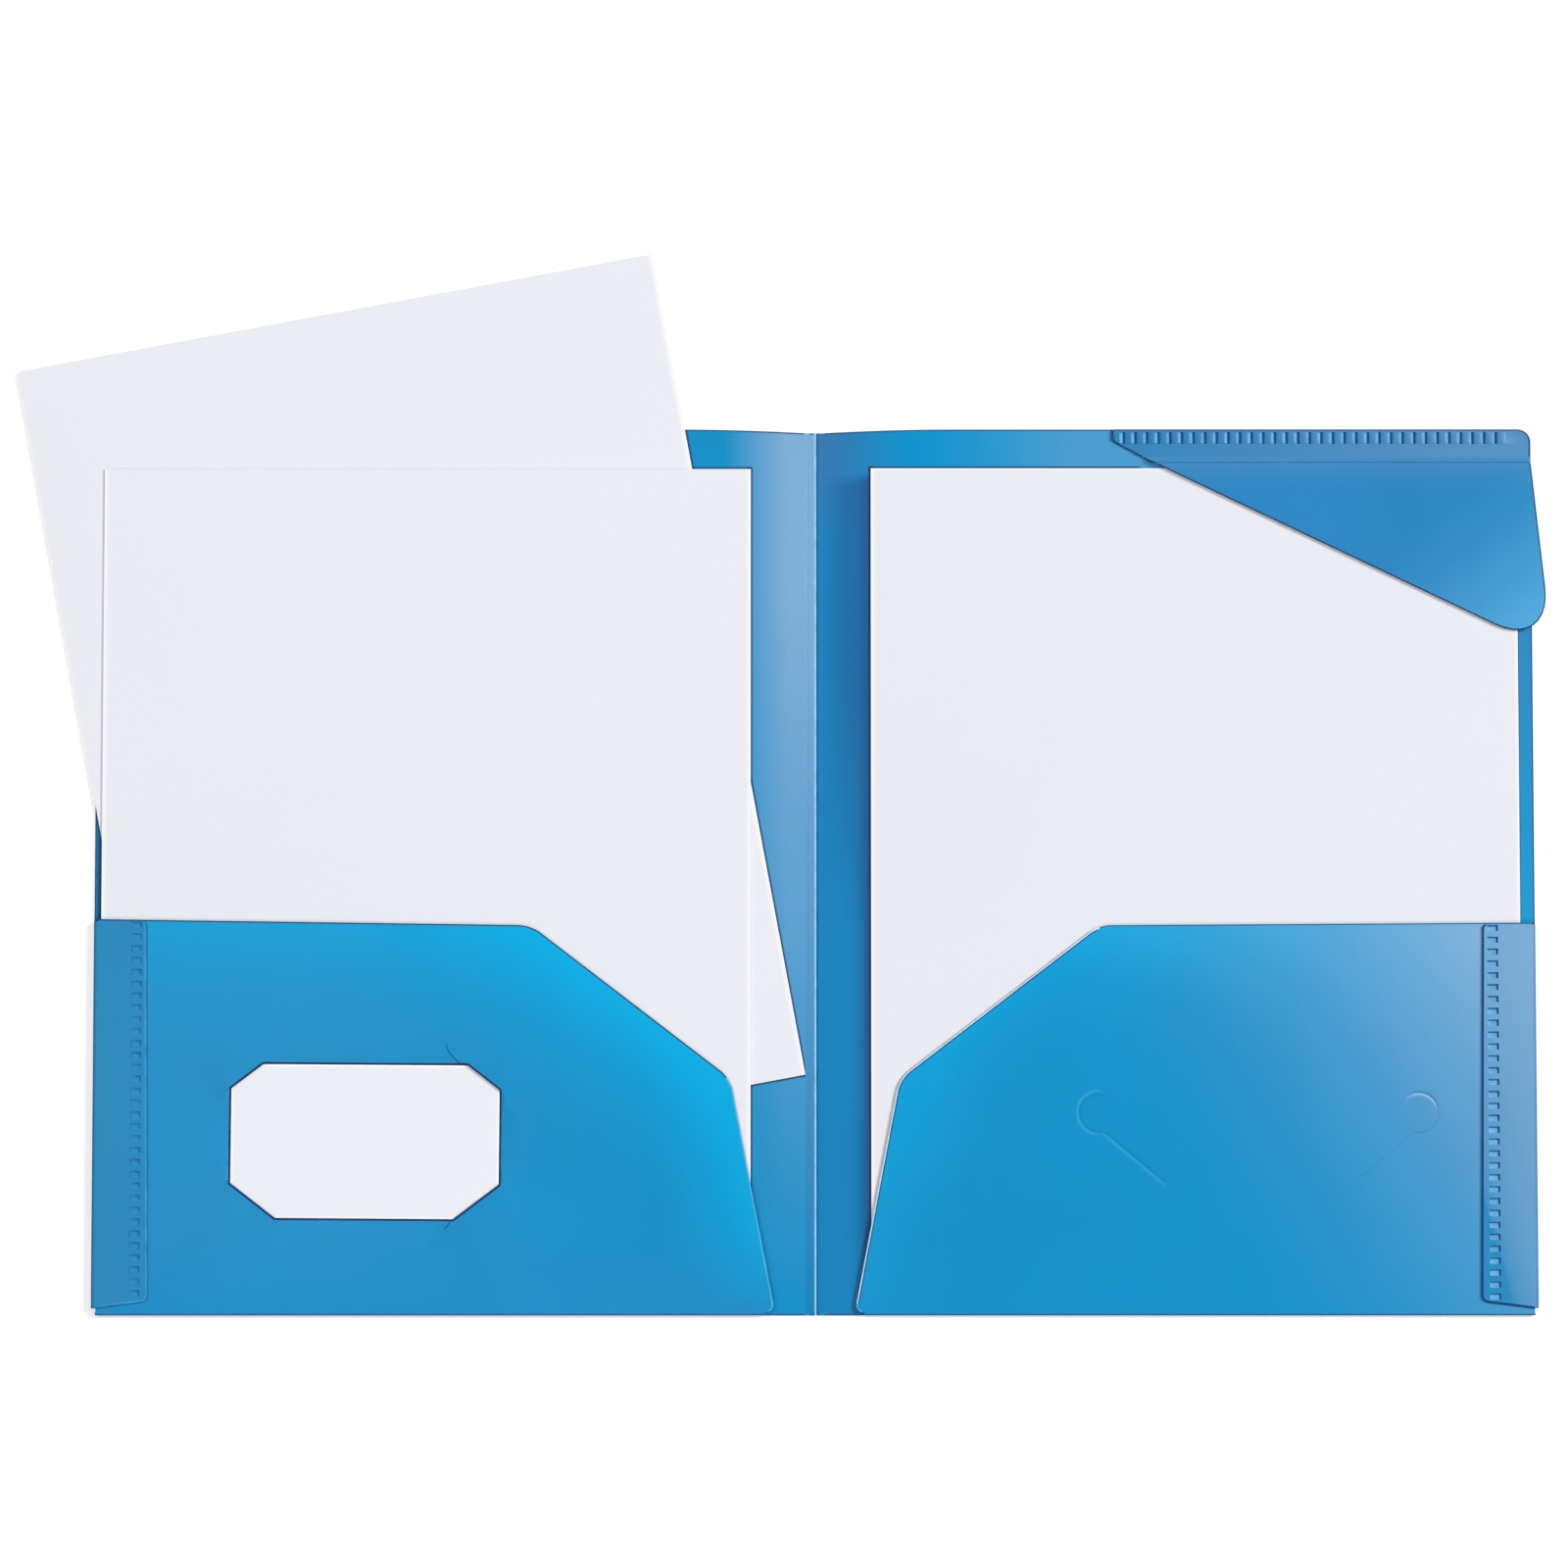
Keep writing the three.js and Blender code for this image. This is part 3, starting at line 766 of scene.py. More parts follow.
def cover_film(side, material):
    """One cover, cut away where the pocket's folds turn up, with its top edge dipping at the spine."""
    inner = CREASE + CREASE_HALF
    name = side.body + "_film"
    materials = (material, outside, edge)
    piece = flat_piece(name, side.at(inner, BOTTOM), side.at(side.outer, TOP), FILM, materials)
    fold_edge = BOTTOM + side.bottom_radius
    keep = side.at(CREASE + DIP_RUN, 0)
    dip = TOP - SPINE_TOP
    with shaping(piece):
        for cut in range(DIP_CUTS):
            away = DIP_RUN * (1 - (cut + 0.5) / DIP_CUTS)
            drop = dip * (1 - away / DIP_RUN) ** 2
            slope = 2 * dip / DIP_RUN * (1 - away / DIP_RUN)
            start = side.at(CREASE + away, TOP - drop)
            end = side.at(CREASE + away + 1, TOP - drop + slope)
            trim(start, end, keep)
        round_corner(piece, side.at(side.outer, TOP), COVER_CORNER)
        score_columns([side.sign * side.fold_start, side.sign * side.fold_end])
        score_rows([fold_edge, side.tab_top])

        def turned_up(face, middle):
            out = side.out(middle)
            under_fold = side.fold_start < out and middle.y < fold_edge
            beside_fold = out > side.fold_end and middle.y < side.tab_top
            return under_fold or beside_fold

        pick(piece, "FACE", turned_up)
        bpy.ops.mesh.delete(type="FACE")

        def on_seam(place, slack):
            out = side.out(place)
            at_spine = out < inner + slack
            at_bottom_fold = out > side.fold_start - slack and place.y < fold_edge + slack
            at_side_fold = out > side.fold_end - slack and place.y < side.tab_top - RIM
            return at_spine or at_bottom_fold or at_side_fold

        finish_rim(piece, on_seam)
    stand_on(piece, 0, 1)
    put_on(piece, side.body, "cover_film", side.body)


def film_fold(side, part, radius, start, end, keep, material):
    """A film fold: a tube along a line, cut in half and given its thickness inwards."""
    start, end = [Vector((*side.at(*point), radius)) for point in (start, end)]
    along = end - start
    node = side.prefix + part
    rest_selection()
    bpy.ops.mesh.primitive_cylinder_add(
        vertices=FOLD_SIDES,
        radius=radius,
        depth=along.length,
        end_fill_type="NOTHING",
        location=(start + end) / 2,
        rotation=along.to_track_quat("Z", "Y").to_euler(),
    )
    piece = take_up(node + "_film", (material, edge))
    with shaping(piece):
        select_all()
        away = [-x for x in keep]
        bpy.ops.mesh.bisect(plane_co=start, plane_no=away, clear_outer=True, threshold=TOUCH)
    thicken(piece, FILM)
    put_on(piece, side.body, "fold_film", node)


def bottom_fold(side, material):
    radius = side.bottom_radius
    start, end = [(out, BOTTOM + radius) for out in (side.fold_start, side.fold_end)]
    film_fold(side, "_bottom_fold", radius, start, end, (0, -1, 0), material)


def side_fold(side, material):
    radius = side.side_radius
    start, end = [(side.outer - radius, y) for y in (side.tab_bottom, side.tab_top)]
    film_fold(side, "_side_fold", radius, start, end, (side.sign, 0, 0), material)


def pocket_sheet(side, materials, looks):
    """The pocket as a flat sheet. The looks are those of its foot, inner, slanting and top edges.

    Each look is a pair, the finish numbers of the rim's outer and inner band.
    """
    foot = side.at(CREASE + FOOT_REACH, side.foot_y)
    knee = side.at(CREASE + KNEE_REACH, up(KNEE_HEIGHT))
    shoulder = side.at(CREASE + SHOULDER_REACH, up(POCKET_HEIGHT))
    top_end = side.at(side.panel_end, side.pocket_top)
    keep = side.at((CREASE + SHOULDER_REACH + side.outer) / 2, up(KNEE_HEIGHT))
    piece = flat_piece(side.prefix + "_pocket_film", foot, top_end, side.panel_face, materials)

    def on_seam(place, slack):
        at_fold = place.y < side.foot_y + slack
        return at_fold or side.out(place) > side.panel_end - slack

    def looks_at(place):
        if place.y < up(FOOT_EDGE_HEIGHT):
            return looks[0]
        if place.y < knee[1]:
            return looks[1]
        return looks[3] if side.out(place) > CREASE + SHOULDER_REACH else looks[2]

    with shaping(piece):
        for start, end in ((foot, knee), (knee, shoulder), (shoulder, top_end)):
            trim(start, end, keep)
        for corner, radius in ((foot, FOOT_RADIUS), (knee, KNEE_RADIUS), (shoulder, SHOULDER_RADIUS)):
            round_corner(piece, corner, radius)
        finish_rim(piece, on_seam, looks_at)
    return piece


class CardPlace:
    """Where the card lies on the left pocket, and how far its corners reach behind their slits."""

    def __init__(self):
        low, high = reach("business_card")
        self.centre = ((low + high) / 2).xy
        self.stock = high.z - low.z
        self.turn = Matrix.Rotation(math.radians(CARD_TURN), 2)
        self.long_way = self.turn @ Vector((1, 0))
        self.short_way = self.turn @ Vector((0, 1))
        self.bottom = left.panel_face - CARD_SINK + CARD_CLEAR
        self.slits = [Slit(self, x, y) for x, y in ((1, 1), (-1, 1), (-1, -1), (1, -1))]

    def past(self, place):
        """How far a place lies outside the card's outline."""
        out = place.xy - self.centre
        beside = max(0.0, abs(out.dot(self.long_way)) - CARD_WIDTH / 2)
        above = max(0.0, abs(out.dot(self.short_way)) - CARD_HEIGHT / 2)
        return math.hypot(beside, above)

    def behind_slit(self, place):
        return any(slit.holds(place) for slit in self.slits)


class Slit:
    """One of the four slits, as its middle, its direction and the way out to the card's corner."""

    def __init__(self, card, flip_x, flip_y):
        angle = math.radians(SLIT_ANGLE)
        depth = TOP_SLIT_DEPTH if flip_y > 0 else FOOT_SLIT_DEPTH
        corner = Vector((flip_x * CARD_WIDTH / 2, flip_y * CARD_HEIGHT / 2))
        outward = Vector((flip_x * math.sin(angle), flip_y * math.cos(angle)))
        along = Vector((flip_x * math.cos(angle), -flip_y * math.sin(angle)))
        self.flips = (flip_x, flip_y)
        self.corner = card.centre + card.turn @ corner
        self.middle = card.centre + card.turn @ (corner - outward * depth)
        self.along = card.turn @ along
        self.outward = card.turn @ outward
        self.start = -depth / math.tan(angle) - SLIT_ROOM / math.sin(angle)
        self.end = depth * math.tan(angle) + SLIT_ROOM / math.cos(angle)
        self.depth = depth
        self.to_long_edge = depth / math.cos(angle)
        self.to_short_edge = depth / math.sin(angle)

    def outwards(self, place):
        return (place.xy - self.middle).dot(self.outward)

    def beside(self, place, room=0.0):
        """Whether a place lies between the slit's ends."""
        return self.start - room < (place.xy - self.middle).dot(self.along) < self.end + room

    def near(self, place):
        return (place.xy - self.corner).length < 3 * (CORNER_REACH + self.depth)

    def holds(self, place):
        return self.near(place) and self.outwards(place) > 0


def corner_lines(piece, card, slit):
    """A fine grid over the film around one card corner, with the slit cut through it."""
    margin = CORNER_REACH + CORNER_SPREAD * slit.depth
    patch = []
    for flip, half, hold in (
        (slit.flips[0], CARD_WIDTH / 2, slit.to_short_edge),
        (slit.flips[1], CARD_HEIGHT / 2, slit.to_long_edge),
    ):
        inner = half - hold - SLIT_SOFTNESS
        outer = half + margin
        places = evenly(inner, outer, round((outer - inner) / CORNER_GRID))
        patch.append(sorted(flip * place for place in places))
    score_patch(piece, card.centre, card.long_way, card.short_way, *patch)
    for distance in (0, CARD_SHADE):
        pick(piece, "FACE", lambda face, middle: slit.near(middle) and slit.beside(middle, CORNER_GRID))
        score(slit.middle + slit.outward * distance, slit.outward)

    def in_rim(middle):
        on_card = card.past(middle) < CARD_SHADE
        return on_card and slit.beside(middle) and 0 < slit.outwards(middle) < CARD_SHADE

    def on_slit(line, middle):
        return slit.beside(middle) and abs(slit.outwards(middle)) < CLOSE

    paint(piece, 1, in_rim)
    pick(piece, "EDGE", on_slit)
    bpy.ops.mesh.edge_split(type="EDGE")


def dark_line(piece, start, end, width):
    """A fine dark line on a film, where it has creased."""
    start, end = Vector(start), Vector(end)
    along = (end - start).normalized()
    across = Vector((-along.y, along.x))
    length = (end - start).length
    score_patch(piece, start, along, across, [0, length], [-width / 2, width / 2])

    def on_line(middle):
        out = middle.xy - start
        return 0 < out.dot(along) < length and abs(out.dot(across)) < width / 2

    paint(piece, 1, on_line)


def left_pocket(card, material):
    """The left pocket, slit and drawn up over the card's corners, and pressed down under the card."""
    # painted highlight on the foot and inner edges, the dark cut-edge band on the others
    materials = (material, card_shade, lit_edge, edge)
    piece = pocket_sheet(left, materials, ((2, 0), (2, 0), (3, 0), (3, 0)))
    outline = []
    for half in (CARD_WIDTH / 2, CARD_HEIGHT / 2):
        lines = [half - RIM, half + CARD_SHADE, half + SLIT_ROOM]
        outline.append([-line for line in reversed(lines)] + lines)

    def around_card(middle):
        return 0 < card.past(middle) < CARD_SHADE and not card.behind_slit(middle)

    with shaping(piece):
        score_patch(piece, card.centre, card.long_way, card.short_way, *outline)
        for slit in card.slits:
            corner_lines(piece, card, slit)
        for start, end in CARD_CREASES:
            dark_line(piece, start, end, CREASE_LINE)
        paint(piece, 1, around_card)

    def drawn_up(place, beside):
        past = card.past(place)
        best = 0.0
        for slit in card.slits:
            if slit.holds(beside):
                spread = CORNER_REACH + CORNER_SPREAD * max(0.0, slit.outwards(place))
                return ease(1 - past / spread)
            if slit.near(place):
                softly = ease(past / SLIT_ROOM) * ease(1 + slit.outwards(place) / SLIT_SOFTNESS)
                best = max(best, softly * ease(1 - past / CORNER_REACH))
        return best

    def pressed_down(place, beside):
        return 0.0 if card.behind_slit(beside) else ease(1 - card.past(place) / SLIT_ROOM)

    lift(piece, card.bottom + card.stock + CARD_CLEAR + FILM - left.panel_face, drawn_up)
    lift(piece, -CARD_SINK, pressed_down)
    thicken(piece, FILM)
    put_on(piece, left.body, "pocket_film", "left_pocket_panel")


def tongue_centre(flip):
    return Vector((right.outer - HOLDER_INSET + flip * TONGUE_REACH, up(HOLDER_LIFT)))


def tongue_point(flip, turn):
    """A point on a tongue's round cut, its turn in degrees from the top towards the outer side."""
    angle = math.radians(90 - flip * turn)
    return tongue_centre(flip) + TONGUE_RADIUS * Vector((math.cos(angle), math.sin(angle)))


def tongue_blade(flip, look):
    """The thin blade that cuts a round tongue and the slanting slit that runs on from it."""
    start_angle, end_angle = [math.radians(90 - flip * turn) for turn in (TONGUE_START, TONGUE_END)]
    rest_selection()
    bpy.ops.mesh.primitive_plane_add(
        size=1,
        location=(*tongue_point(flip, TONGUE_START), right.panel_face),
        rotation=(math.pi / 2, 0, start_angle),
    )
    blade = take_up("blade", (look, look), (SLIT_WIDTH, 4 * FILM, 1))
    with shaping(blade):
        select_all()
        bpy.ops.mesh.spin(
            steps=4 * CORNER_STEPS,
            angle=end_angle - start_angle,
            center=(*tongue_centre(flip), 0),
            axis=(0, 0, -1),
        )
        bpy.ops.mesh.extrude_region_move(
            TRANSFORM_OT_translate={"value": (-flip * CUT_RUN, -CUT_DROP, 0)}
        )
        select_all()
        bpy.ops.mesh.remove_doubles(threshold=CLOSE)
        bpy.ops.mesh.fill_holes(sides=4)
        bpy.ops.mesh.normals_make_consistent(inside=False)
    for face in blade.data.polygons:
        face.material_index = 1
    return blade


def right_pocket(material):
    """The right pocket, with its two empty tongues."""
    # painted highlight on the foot, inner and slanting edges, a fine dark line inside the latter two,
    # painted shade on the top edge
    materials = (material, edge_highlight, fine_line, lit_edge, groove_shade, edge)
    piece = pocket_sheet(right, materials, ((3, 0), (1, 2), (1, 2), (4, 0)))
    half = TONGUE_RADIUS + TONGUE_GRID
    places = evenly(-half, half, round(2 * half / TONGUE_GRID))
    with shaping(piece):
        for flip in (-1, 1):
            score_patch(piece, tongue_centre(flip), Vector((1, 0)), Vector((0, 1)), places, places)
    thicken(piece, FILM)
    for flip, look in ((-1, lit_edge), (1, fine_line)):
        blade = tongue_blade(flip, look)
        apply_modifier(piece, "BOOLEAN", object=blade, operation="DIFFERENCE", solver="EXACT")
        bpy.data.objects.remove(blade)
    for flip, height in TONGUE_LIFTS:

        def share(place, beside, flip=flip, centre=tongue_centre(flip)):
            over = flip * (place.xy - centre).x + TONGUE_RADIUS
            on_tongue = (beside.xy - centre).length <= TONGUE_RADIUS
            return ease(over / (2 * TONGUE_RADIUS)) if on_tongue else 0.0

        lift(piece, height, share)
    put_on(piece, right.body, "pocket_film", "right_pocket_panel")


def row_of(place, end, pitch):
    """Places that go down from one place to another, a pitch apart."""
    places = []
    while place > end:
        places.append(place)
        place -= pitch
    return places


def side_tab(side, materials, looks, rim_width, both_ends):
    """The tab folded over the pocket's outer edge, with its row of pressed weld marks.

    The materials are those of the film, the marks' end walls in painted shade, their floors in painted
    highlight, a bold rim, the marks' top walls in painted shade and the cut sides. The looks number the
    two bands of the rim among them.
    """
    top_end = side.outer - TAB_TOP_WIDTH
    foot_end = side.outer - TAB_FOOT_WIDTH
    top_corner = side.at(top_end, side.tab_top)
    foot_corner = side.at(foot_end, side.tab_bottom + TAB_FOOT_SLANT)
    near = side.at(foot_end, side.tab_bottom)
    far = side.at(side.fold_end, side.tab_top)
    piece = flat_piece(side.prefix + "_side_tab_film", near, far, side.tab_face, materials)
    dashes = row_of(side.tab_top - DASH_TOP_DROP, side.tab_bottom + DASH_FOOT_ROOM, DASH_PITCH)
    keep = side.at(side.outer - DASH_INSET, 0.5 * (side.tab_bottom + side.tab_top))
    middle_x = keep[0]
    half_length = DASH_LENGTH / 2
    half_width = DASH_WIDTH / 2

    def at_fold(place, slack):
        return side.out(place) > side.fold_end - slack

    def looks_at(place):
        along_top = side.out(place) > top_end + 2 * TAB_TOP_RADIUS and place.y > keep[1]
        return (0, 0) if along_top else looks

    def from_dash(place):
        return min((place.y - y for y in dashes), key=abs)

    def in_mark(place, wall=0.0):
        in_length = abs(place.x - middle_x) < half_length - wall
        return in_length and abs(from_dash(place)) < half_width - wall

    def on_end_wall(place):
        across = place.x - middle_x
        at_right = across > half_length - DASH_WALL
        at_left = both_ends and across < DASH_WALL - half_length
        return in_mark(place) and (at_right or at_left)

    def on_top_wall(place):
        return in_mark(place) and from_dash(place) > half_width - DASH_WALL

    with shaping(piece):
        trim(top_corner, foot_corner, keep)
        trim(foot_corner, side.at(side.fold_end, side.tab_bottom), keep)
        round_corner(piece, top_corner, TAB_TOP_RADIUS)
        round_corner(piece, foot_corner, TAB_FOOT_RADIUS)
        finish_rim(piece, at_fold, looks_at, rim_width)
        for distance in (half_length + SUPPORT / 2, half_length, half_length - DASH_WALL):
            score_columns([middle_x - distance, middle_x + distance])
        for distance in (half_width + SUPPORT / 2, half_width, half_width - DASH_WALL):
            score_rows([y + flip * distance for y in dashes for flip in (-1, 1)])
        # painted highlight on the marks' floors, painted shade on their top and end walls
        if not both_ends:
            paint(piece, 2, in_mark)
        paint(piece, 4, on_top_wall)
        paint(piece, 1, on_end_wall)

    lift(piece, -DASH_DEPTH, lambda place, beside: float(in_mark(place, DASH_WALL - CLOSE)))
    thicken(piece, FILM)
    put_on(piece, side.body, "tab_film", side.prefix + "_side_tab")


def spine_film(material):
    """The spine between its two creases, with the line pressed down its middle."""
    inner = CREASE - CREASE_HALF
    materials = (material, groove_shade, groove_highlight, edge)
    piece = flat_piece("spine_film", (-inner, BOTTOM), (inner, SPINE_TOP), FILM, materials)
    edges = (GROOVE_PLACE - GROOVE_LEFT, GROOVE_PLACE + GROOVE_RIGHT)
    with shaping(piece):
        finish_rim(piece, lambda place, slack: abs(place.x) > inner - slack)
        score_columns([edges[0], GROOVE_PLACE, GROOVE_PLACE + GROOVE_SHADE, edges[1]])
        # painted shade on the groove's right wall, painted highlight on its left wall
        paint(piece, 1, lambda middle: 0 < middle.x - GROOVE_PLACE < GROOVE_SHADE)
        paint(piece, 2, lambda middle: 0 < GROOVE_PLACE - middle.x < GROOVE_LEFT)

    def share(place, beside):
        out = place.x - GROOVE_PLACE
        return max(0.0, 1 - max(-out / GROOVE_LEFT, out / GROOVE_RIGHT))

    lift(piece, -GROOVE_DEPTH, share)
    stand_on(piece, 0)
    put_on(piece, "spine", "spine_film", "spine_strip")


def crease_web(name, sign, material):
    """The thinned film of a fold line, between a cover and the spine."""
    middle = sign * CREASE
    near = (middle - CREASE_HALF, BOTTOM)
    far = (middle + CREASE_HALF, SPINE_TOP)
    piece = flat_piece(name, near, far, FILM, (material, edge))
    with shaping(piece):
        score_columns(evenly(middle - CREASE_HALF, middle + CREASE_HALF, CREASE_LINES)[1:-1])
    lift(piece, -CREASE_DEPTH, lambda place, beside: ease(1 - abs(place.x - middle) / CREASE_HALF))
    stand_on(piece, 0)
    put_on(piece, None, "spine_film")
    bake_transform(piece)


HINGE_Y = strip_low.y
HINGE_START = (strip_high.x - FLAP_HINGE_LENGTH, HINGE_Y)
HINGE_END = (strip_high.x, HINGE_Y)
STRIP_TIP = (strip_low.x, strip_high.y - STRIP_TIP_HEIGHT)
FREE_CORNER = (right.outer + FLAP_OVERHANG, HINGE_Y - FLAP_CORNER_DROP)


def weld_strip(materials):
    """The strip of the flap that is welded along the top edge, with its row of ribs."""
    low, high = strip_low, strip_high
    near = (low.x, HINGE_Y + FLAP_WEB)
    piece = flat_piece("flap_weld_strip_film", near, (high.x, high.y), low.z + FILM, materials)
    keep = (high.x - RIB_PITCH, high.y - RIB_LENGTH)
    ribs = row_of(high.x - RIB_END_ROOM, low.x + RIB_WIDTH / 2, RIB_PITCH)
    top = high.y - RIB_TOP_DROP
    bottom = top - RIB_LENGTH
    row_end = ribs[-1] - RIB_PITCH / 2

    def from_rib(place):
        return min(abs(place.x - x) for x in ribs)

    def in_row(place, wall=0.0):
        in_height = bottom + wall < place.y < top - wall
        return in_height and row_end < place.x < ribs[0] + RIB_PITCH / 2

    def in_groove(place):
        return in_row(place) and from_rib(place) > RIB_WIDTH / 2

    def on_lit_side(place):
        shares = [(place.x - x) / RIB_WIDTH for x in ribs]
        lit = any(RIB_LIGHT_START < share < RIB_LIGHT_END for share in shares)
        return lit and in_row(place, RIB_WALL)

    with shaping(piece):
        trim(STRIP_TIP, HINGE_START, keep)
        round_corner(piece, (high.x, high.y), STRIP_CORNER)
        round_corner(piece, (low.x, high.y), STRIP_TIP_RADIUS)
        round_corner(piece, STRIP_TIP, STRIP_TIP_RADIUS)
        finish_rim(piece, lambda place, slack: place.y < HINGE_Y + FLAP_WEB + slack)
        score_rows([top, top - RIB_WALL, bottom + RIB_WALL, bottom, bottom - RIB_WALL])
        steps = evenly(-RIB_WIDTH / 2, RIB_WIDTH / 2, RIB_STEPS)
        score_columns([x + step for x in ribs for step in steps])
        # painted shade in the grooves between the ribs, painted highlight on their lit sides
        paint(piece, 1, in_groove)
        paint(piece, 2, on_lit_side)

    def round_rib(place):
        away = from_rib(place) / (RIB_WIDTH / 2)
        return math.sqrt(max(0.0, 1 - away * away))

    def raised(place, beside):
        return round_rib(place) if in_row(place, RIB_WALL - CLOSE) else 0.0

    def pressed(place, beside):
        return 1 - round_rib(place) if in_row(place, RIB_WALL - CLOSE) else 0.0

    lift(piece, RIB_HEIGHT, raised)
    lift(piece, -RIB_SINK, pressed)
    stand_on(piece, low.z)
    put_on(piece, "back_cover", "flap_film", "flap_weld_strip")


def corner_flap_film(material):
    """The three-cornered flap that folds down over the sheet."""
    near = (HINGE_START[0], FREE_CORNER[1])
    far = (FREE_CORNER[0], HINGE_Y - FLAP_WEB)
    piece = flat_piece("corner_flap_film", near, far, flap_high.z, (material, edge))
    keep = (right.outer - FLAP_CORNER_RADIUS, HINGE_Y - FLAP_CORNER_RADIUS)
    with shaping(piece):
        trim(HINGE_START, FREE_CORNER, keep)
        trim(FREE_CORNER, HINGE_END, keep)
        round_corner(piece, FREE_CORNER, FLAP_CORNER_RADIUS)
        finish_rim(piece, lambda place, slack: place.y > HINGE_Y - FLAP_WEB - slack)
    thicken(piece, FILM)
    put_on(piece, "corner_flap", "flap_film", "corner_flap")


def flap_web(material):
    """The fold of film that joins the flap to its strip."""
    near = (HINGE_START[0] - 2 * FLAP_WEB, HINGE_Y - FLAP_WEB)
    far = (strip_high.x, HINGE_Y + FLAP_WEB)
    piece = flat_piece("flap_fold_film", near, far, strip_low.z + FILM, (material, faint_shade, edge))
    hinge_start = Vector(HINGE_START)
    down = (Vector(FREE_CORNER) - Vector(STRIP_TIP)).normalized()
    inwards = Vector((-down.y, down.x))

    def past_strip(place):
        return (HINGE_Y + FLAP_WEB - place.y) / (2 * FLAP_WEB)

    def on_fold_line(place):
        in_line = FOLD_LINE_TOP < past_strip(place) < FOLD_LINE_FOOT
        return in_line and place.x > FOLD_LINE_START

    def in_ridge(place, beside):
        return max(0.0, 1 - abs(past_strip(place) - RIDGE_PLACE) / RIDGE_HALF)

    with shaping(piece):
        trim(STRIP_TIP, HINGE_START, HINGE_END)
        trim(HINGE_START, FREE_CORNER, HINGE_END)
        select_all()
        score(hinge_start + inwards * RIM, inwards)
        score_rows(evenly(HINGE_Y - FLAP_WEB, HINGE_Y + FLAP_WEB, FLAP_WEB_LINES)[1:-1])
        # painted shade line below the fold's ridge
        paint(piece, 1, on_fold_line)
        paint(piece, 2, lambda middle: (middle.xy - hinge_start).dot(inwards) < RIM)

    lift(piece, flap_low.z - strip_low.z, lambda place, beside: ease(past_strip(place)))
    lift(piece, FLAP_RIDGE, in_ridge)
    thicken(piece, FILM)
    put_on(piece, None, "flap_film")
    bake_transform(piece)


def blank_sheet(name, width, height, materials):
    """A flat sheet around the middle of the table, ready to be scored and laid."""
    return flat_piece(name, (-width / 2, -height / 2), (width / 2, height / 2), 0, materials)


def lay(piece, centre, bottom, turn, thickness):
    """Thickens a blank sheet and lays it at its place, turned by some degrees."""
    turned = Matrix.Rotation(math.radians(turn), 4, "Z")
    piece.data.transform(Matrix.Translation((*centre, bottom + thickness)) @ turned)
    thicken(piece, thickness)


def letter_sheet(name, node, material, turn=0):
    """A sheet of letter paper, scored into a fine grid."""
    low, high = reach(node)
    piece = blank_sheet(name, SHEET_WIDTH, SHEET_HEIGHT, (material, material))
    with shaping(piece):
        score_columns(evenly(-SHEET_WIDTH / 2, SHEET_WIDTH / 2, COLUMNS)[1:-1])
        score_rows(evenly(-SHEET_HEIGHT / 2, SHEET_HEIGHT / 2, ROWS)[1:-1])
    lay(piece, ((low + high) / 2).xy, low.z, turn, high.z - low.z)
    put_on(piece, node, "paper", node)


def business_card(card, materials):
    """The blank card, with its rim in a painted highlight."""
    piece = blank_sheet("business_card_stock", CARD_WIDTH, CARD_HEIGHT, materials)
    with shaping(piece):
        select_all()
        bpy.ops.mesh.inset(thickness=CARD_SHADE)
        # the card's outer ring in painted highlight
        paint(piece, 1, lambda middle: middle.length > CARD_SHADE)
    lay(piece, card.centre, card.bottom, CARD_TURN, card.stock)
    apply_modifier(piece, "BEVEL", width=CARD_BEVEL, segments=2)
    put_on(piece, "front_cover", "card_stock", "business_card")


# Finishes of the film pieces, their ramps in millimetres from the middle of the spine


def contact_shadow(amount, line, *others):
    """The painted contact shadow, a dark line beside a sheet. It grows from start to end and ends three
    such steps further.
    """
    start, end = [Vector(point) for point in line]
    step = end - start
    return (CONTACT_SHADOW_NAVY, amount, line, (end + 3 * step, end + 2 * step), *others)


def tongue_layers():
    """The painted light and shade along the two tongues' cuts, their widths in millimetres."""
    left_centre, right_centre = tongue_centre(-1), tongue_centre(1)
    outer_side = ((left_centre.x + 3, 0), (left_centre.x - 2, 0))
    top_side = ((0, right_centre.y + 1), (0, right_centre.y + 4))
    far_side = ((right_centre.x - 5, 0), (right_centre.x, 0))
    start = tongue_point(-1, TONGUE_END)
    end = start + Vector((CUT_RUN, -CUT_DROP))
    along = (end - start).normalized()
    below = Vector((along.y, -along.x))
    ends = ((start, start + along), (end, end - 4 * along))
    lit = ((start, start + 0.3 * below), (start + 1.6 * below, start))
    shaded = ((start, start - 0.3 * below), (start - 1.3 * below, start))
    return (
        (CUT_GLOW, 0.7, ("ring", left_centre, TONGUE_RADIUS + 0.45, 0.9), outer_side),
        (CUT_SHADE, 0.6, ("ring", left_centre, TONGUE_RADIUS - 0.55, 0.6), outer_side),
        (CUT_GLOW, 0.8, *lit, *ends),
        (CUT_SHADE, 0.8, *shaded, *ends),
        (CUT_HIGHLIGHT, 0.9, ("ring", right_centre, TONGUE_RADIUS - 0.45, 0.7), top_side, far_side),
        (CUT_SHADOW, 0.8, ("ring", right_centre, TONGUE_RADIUS + 0.35, 0.6), top_side, far_side),
    )


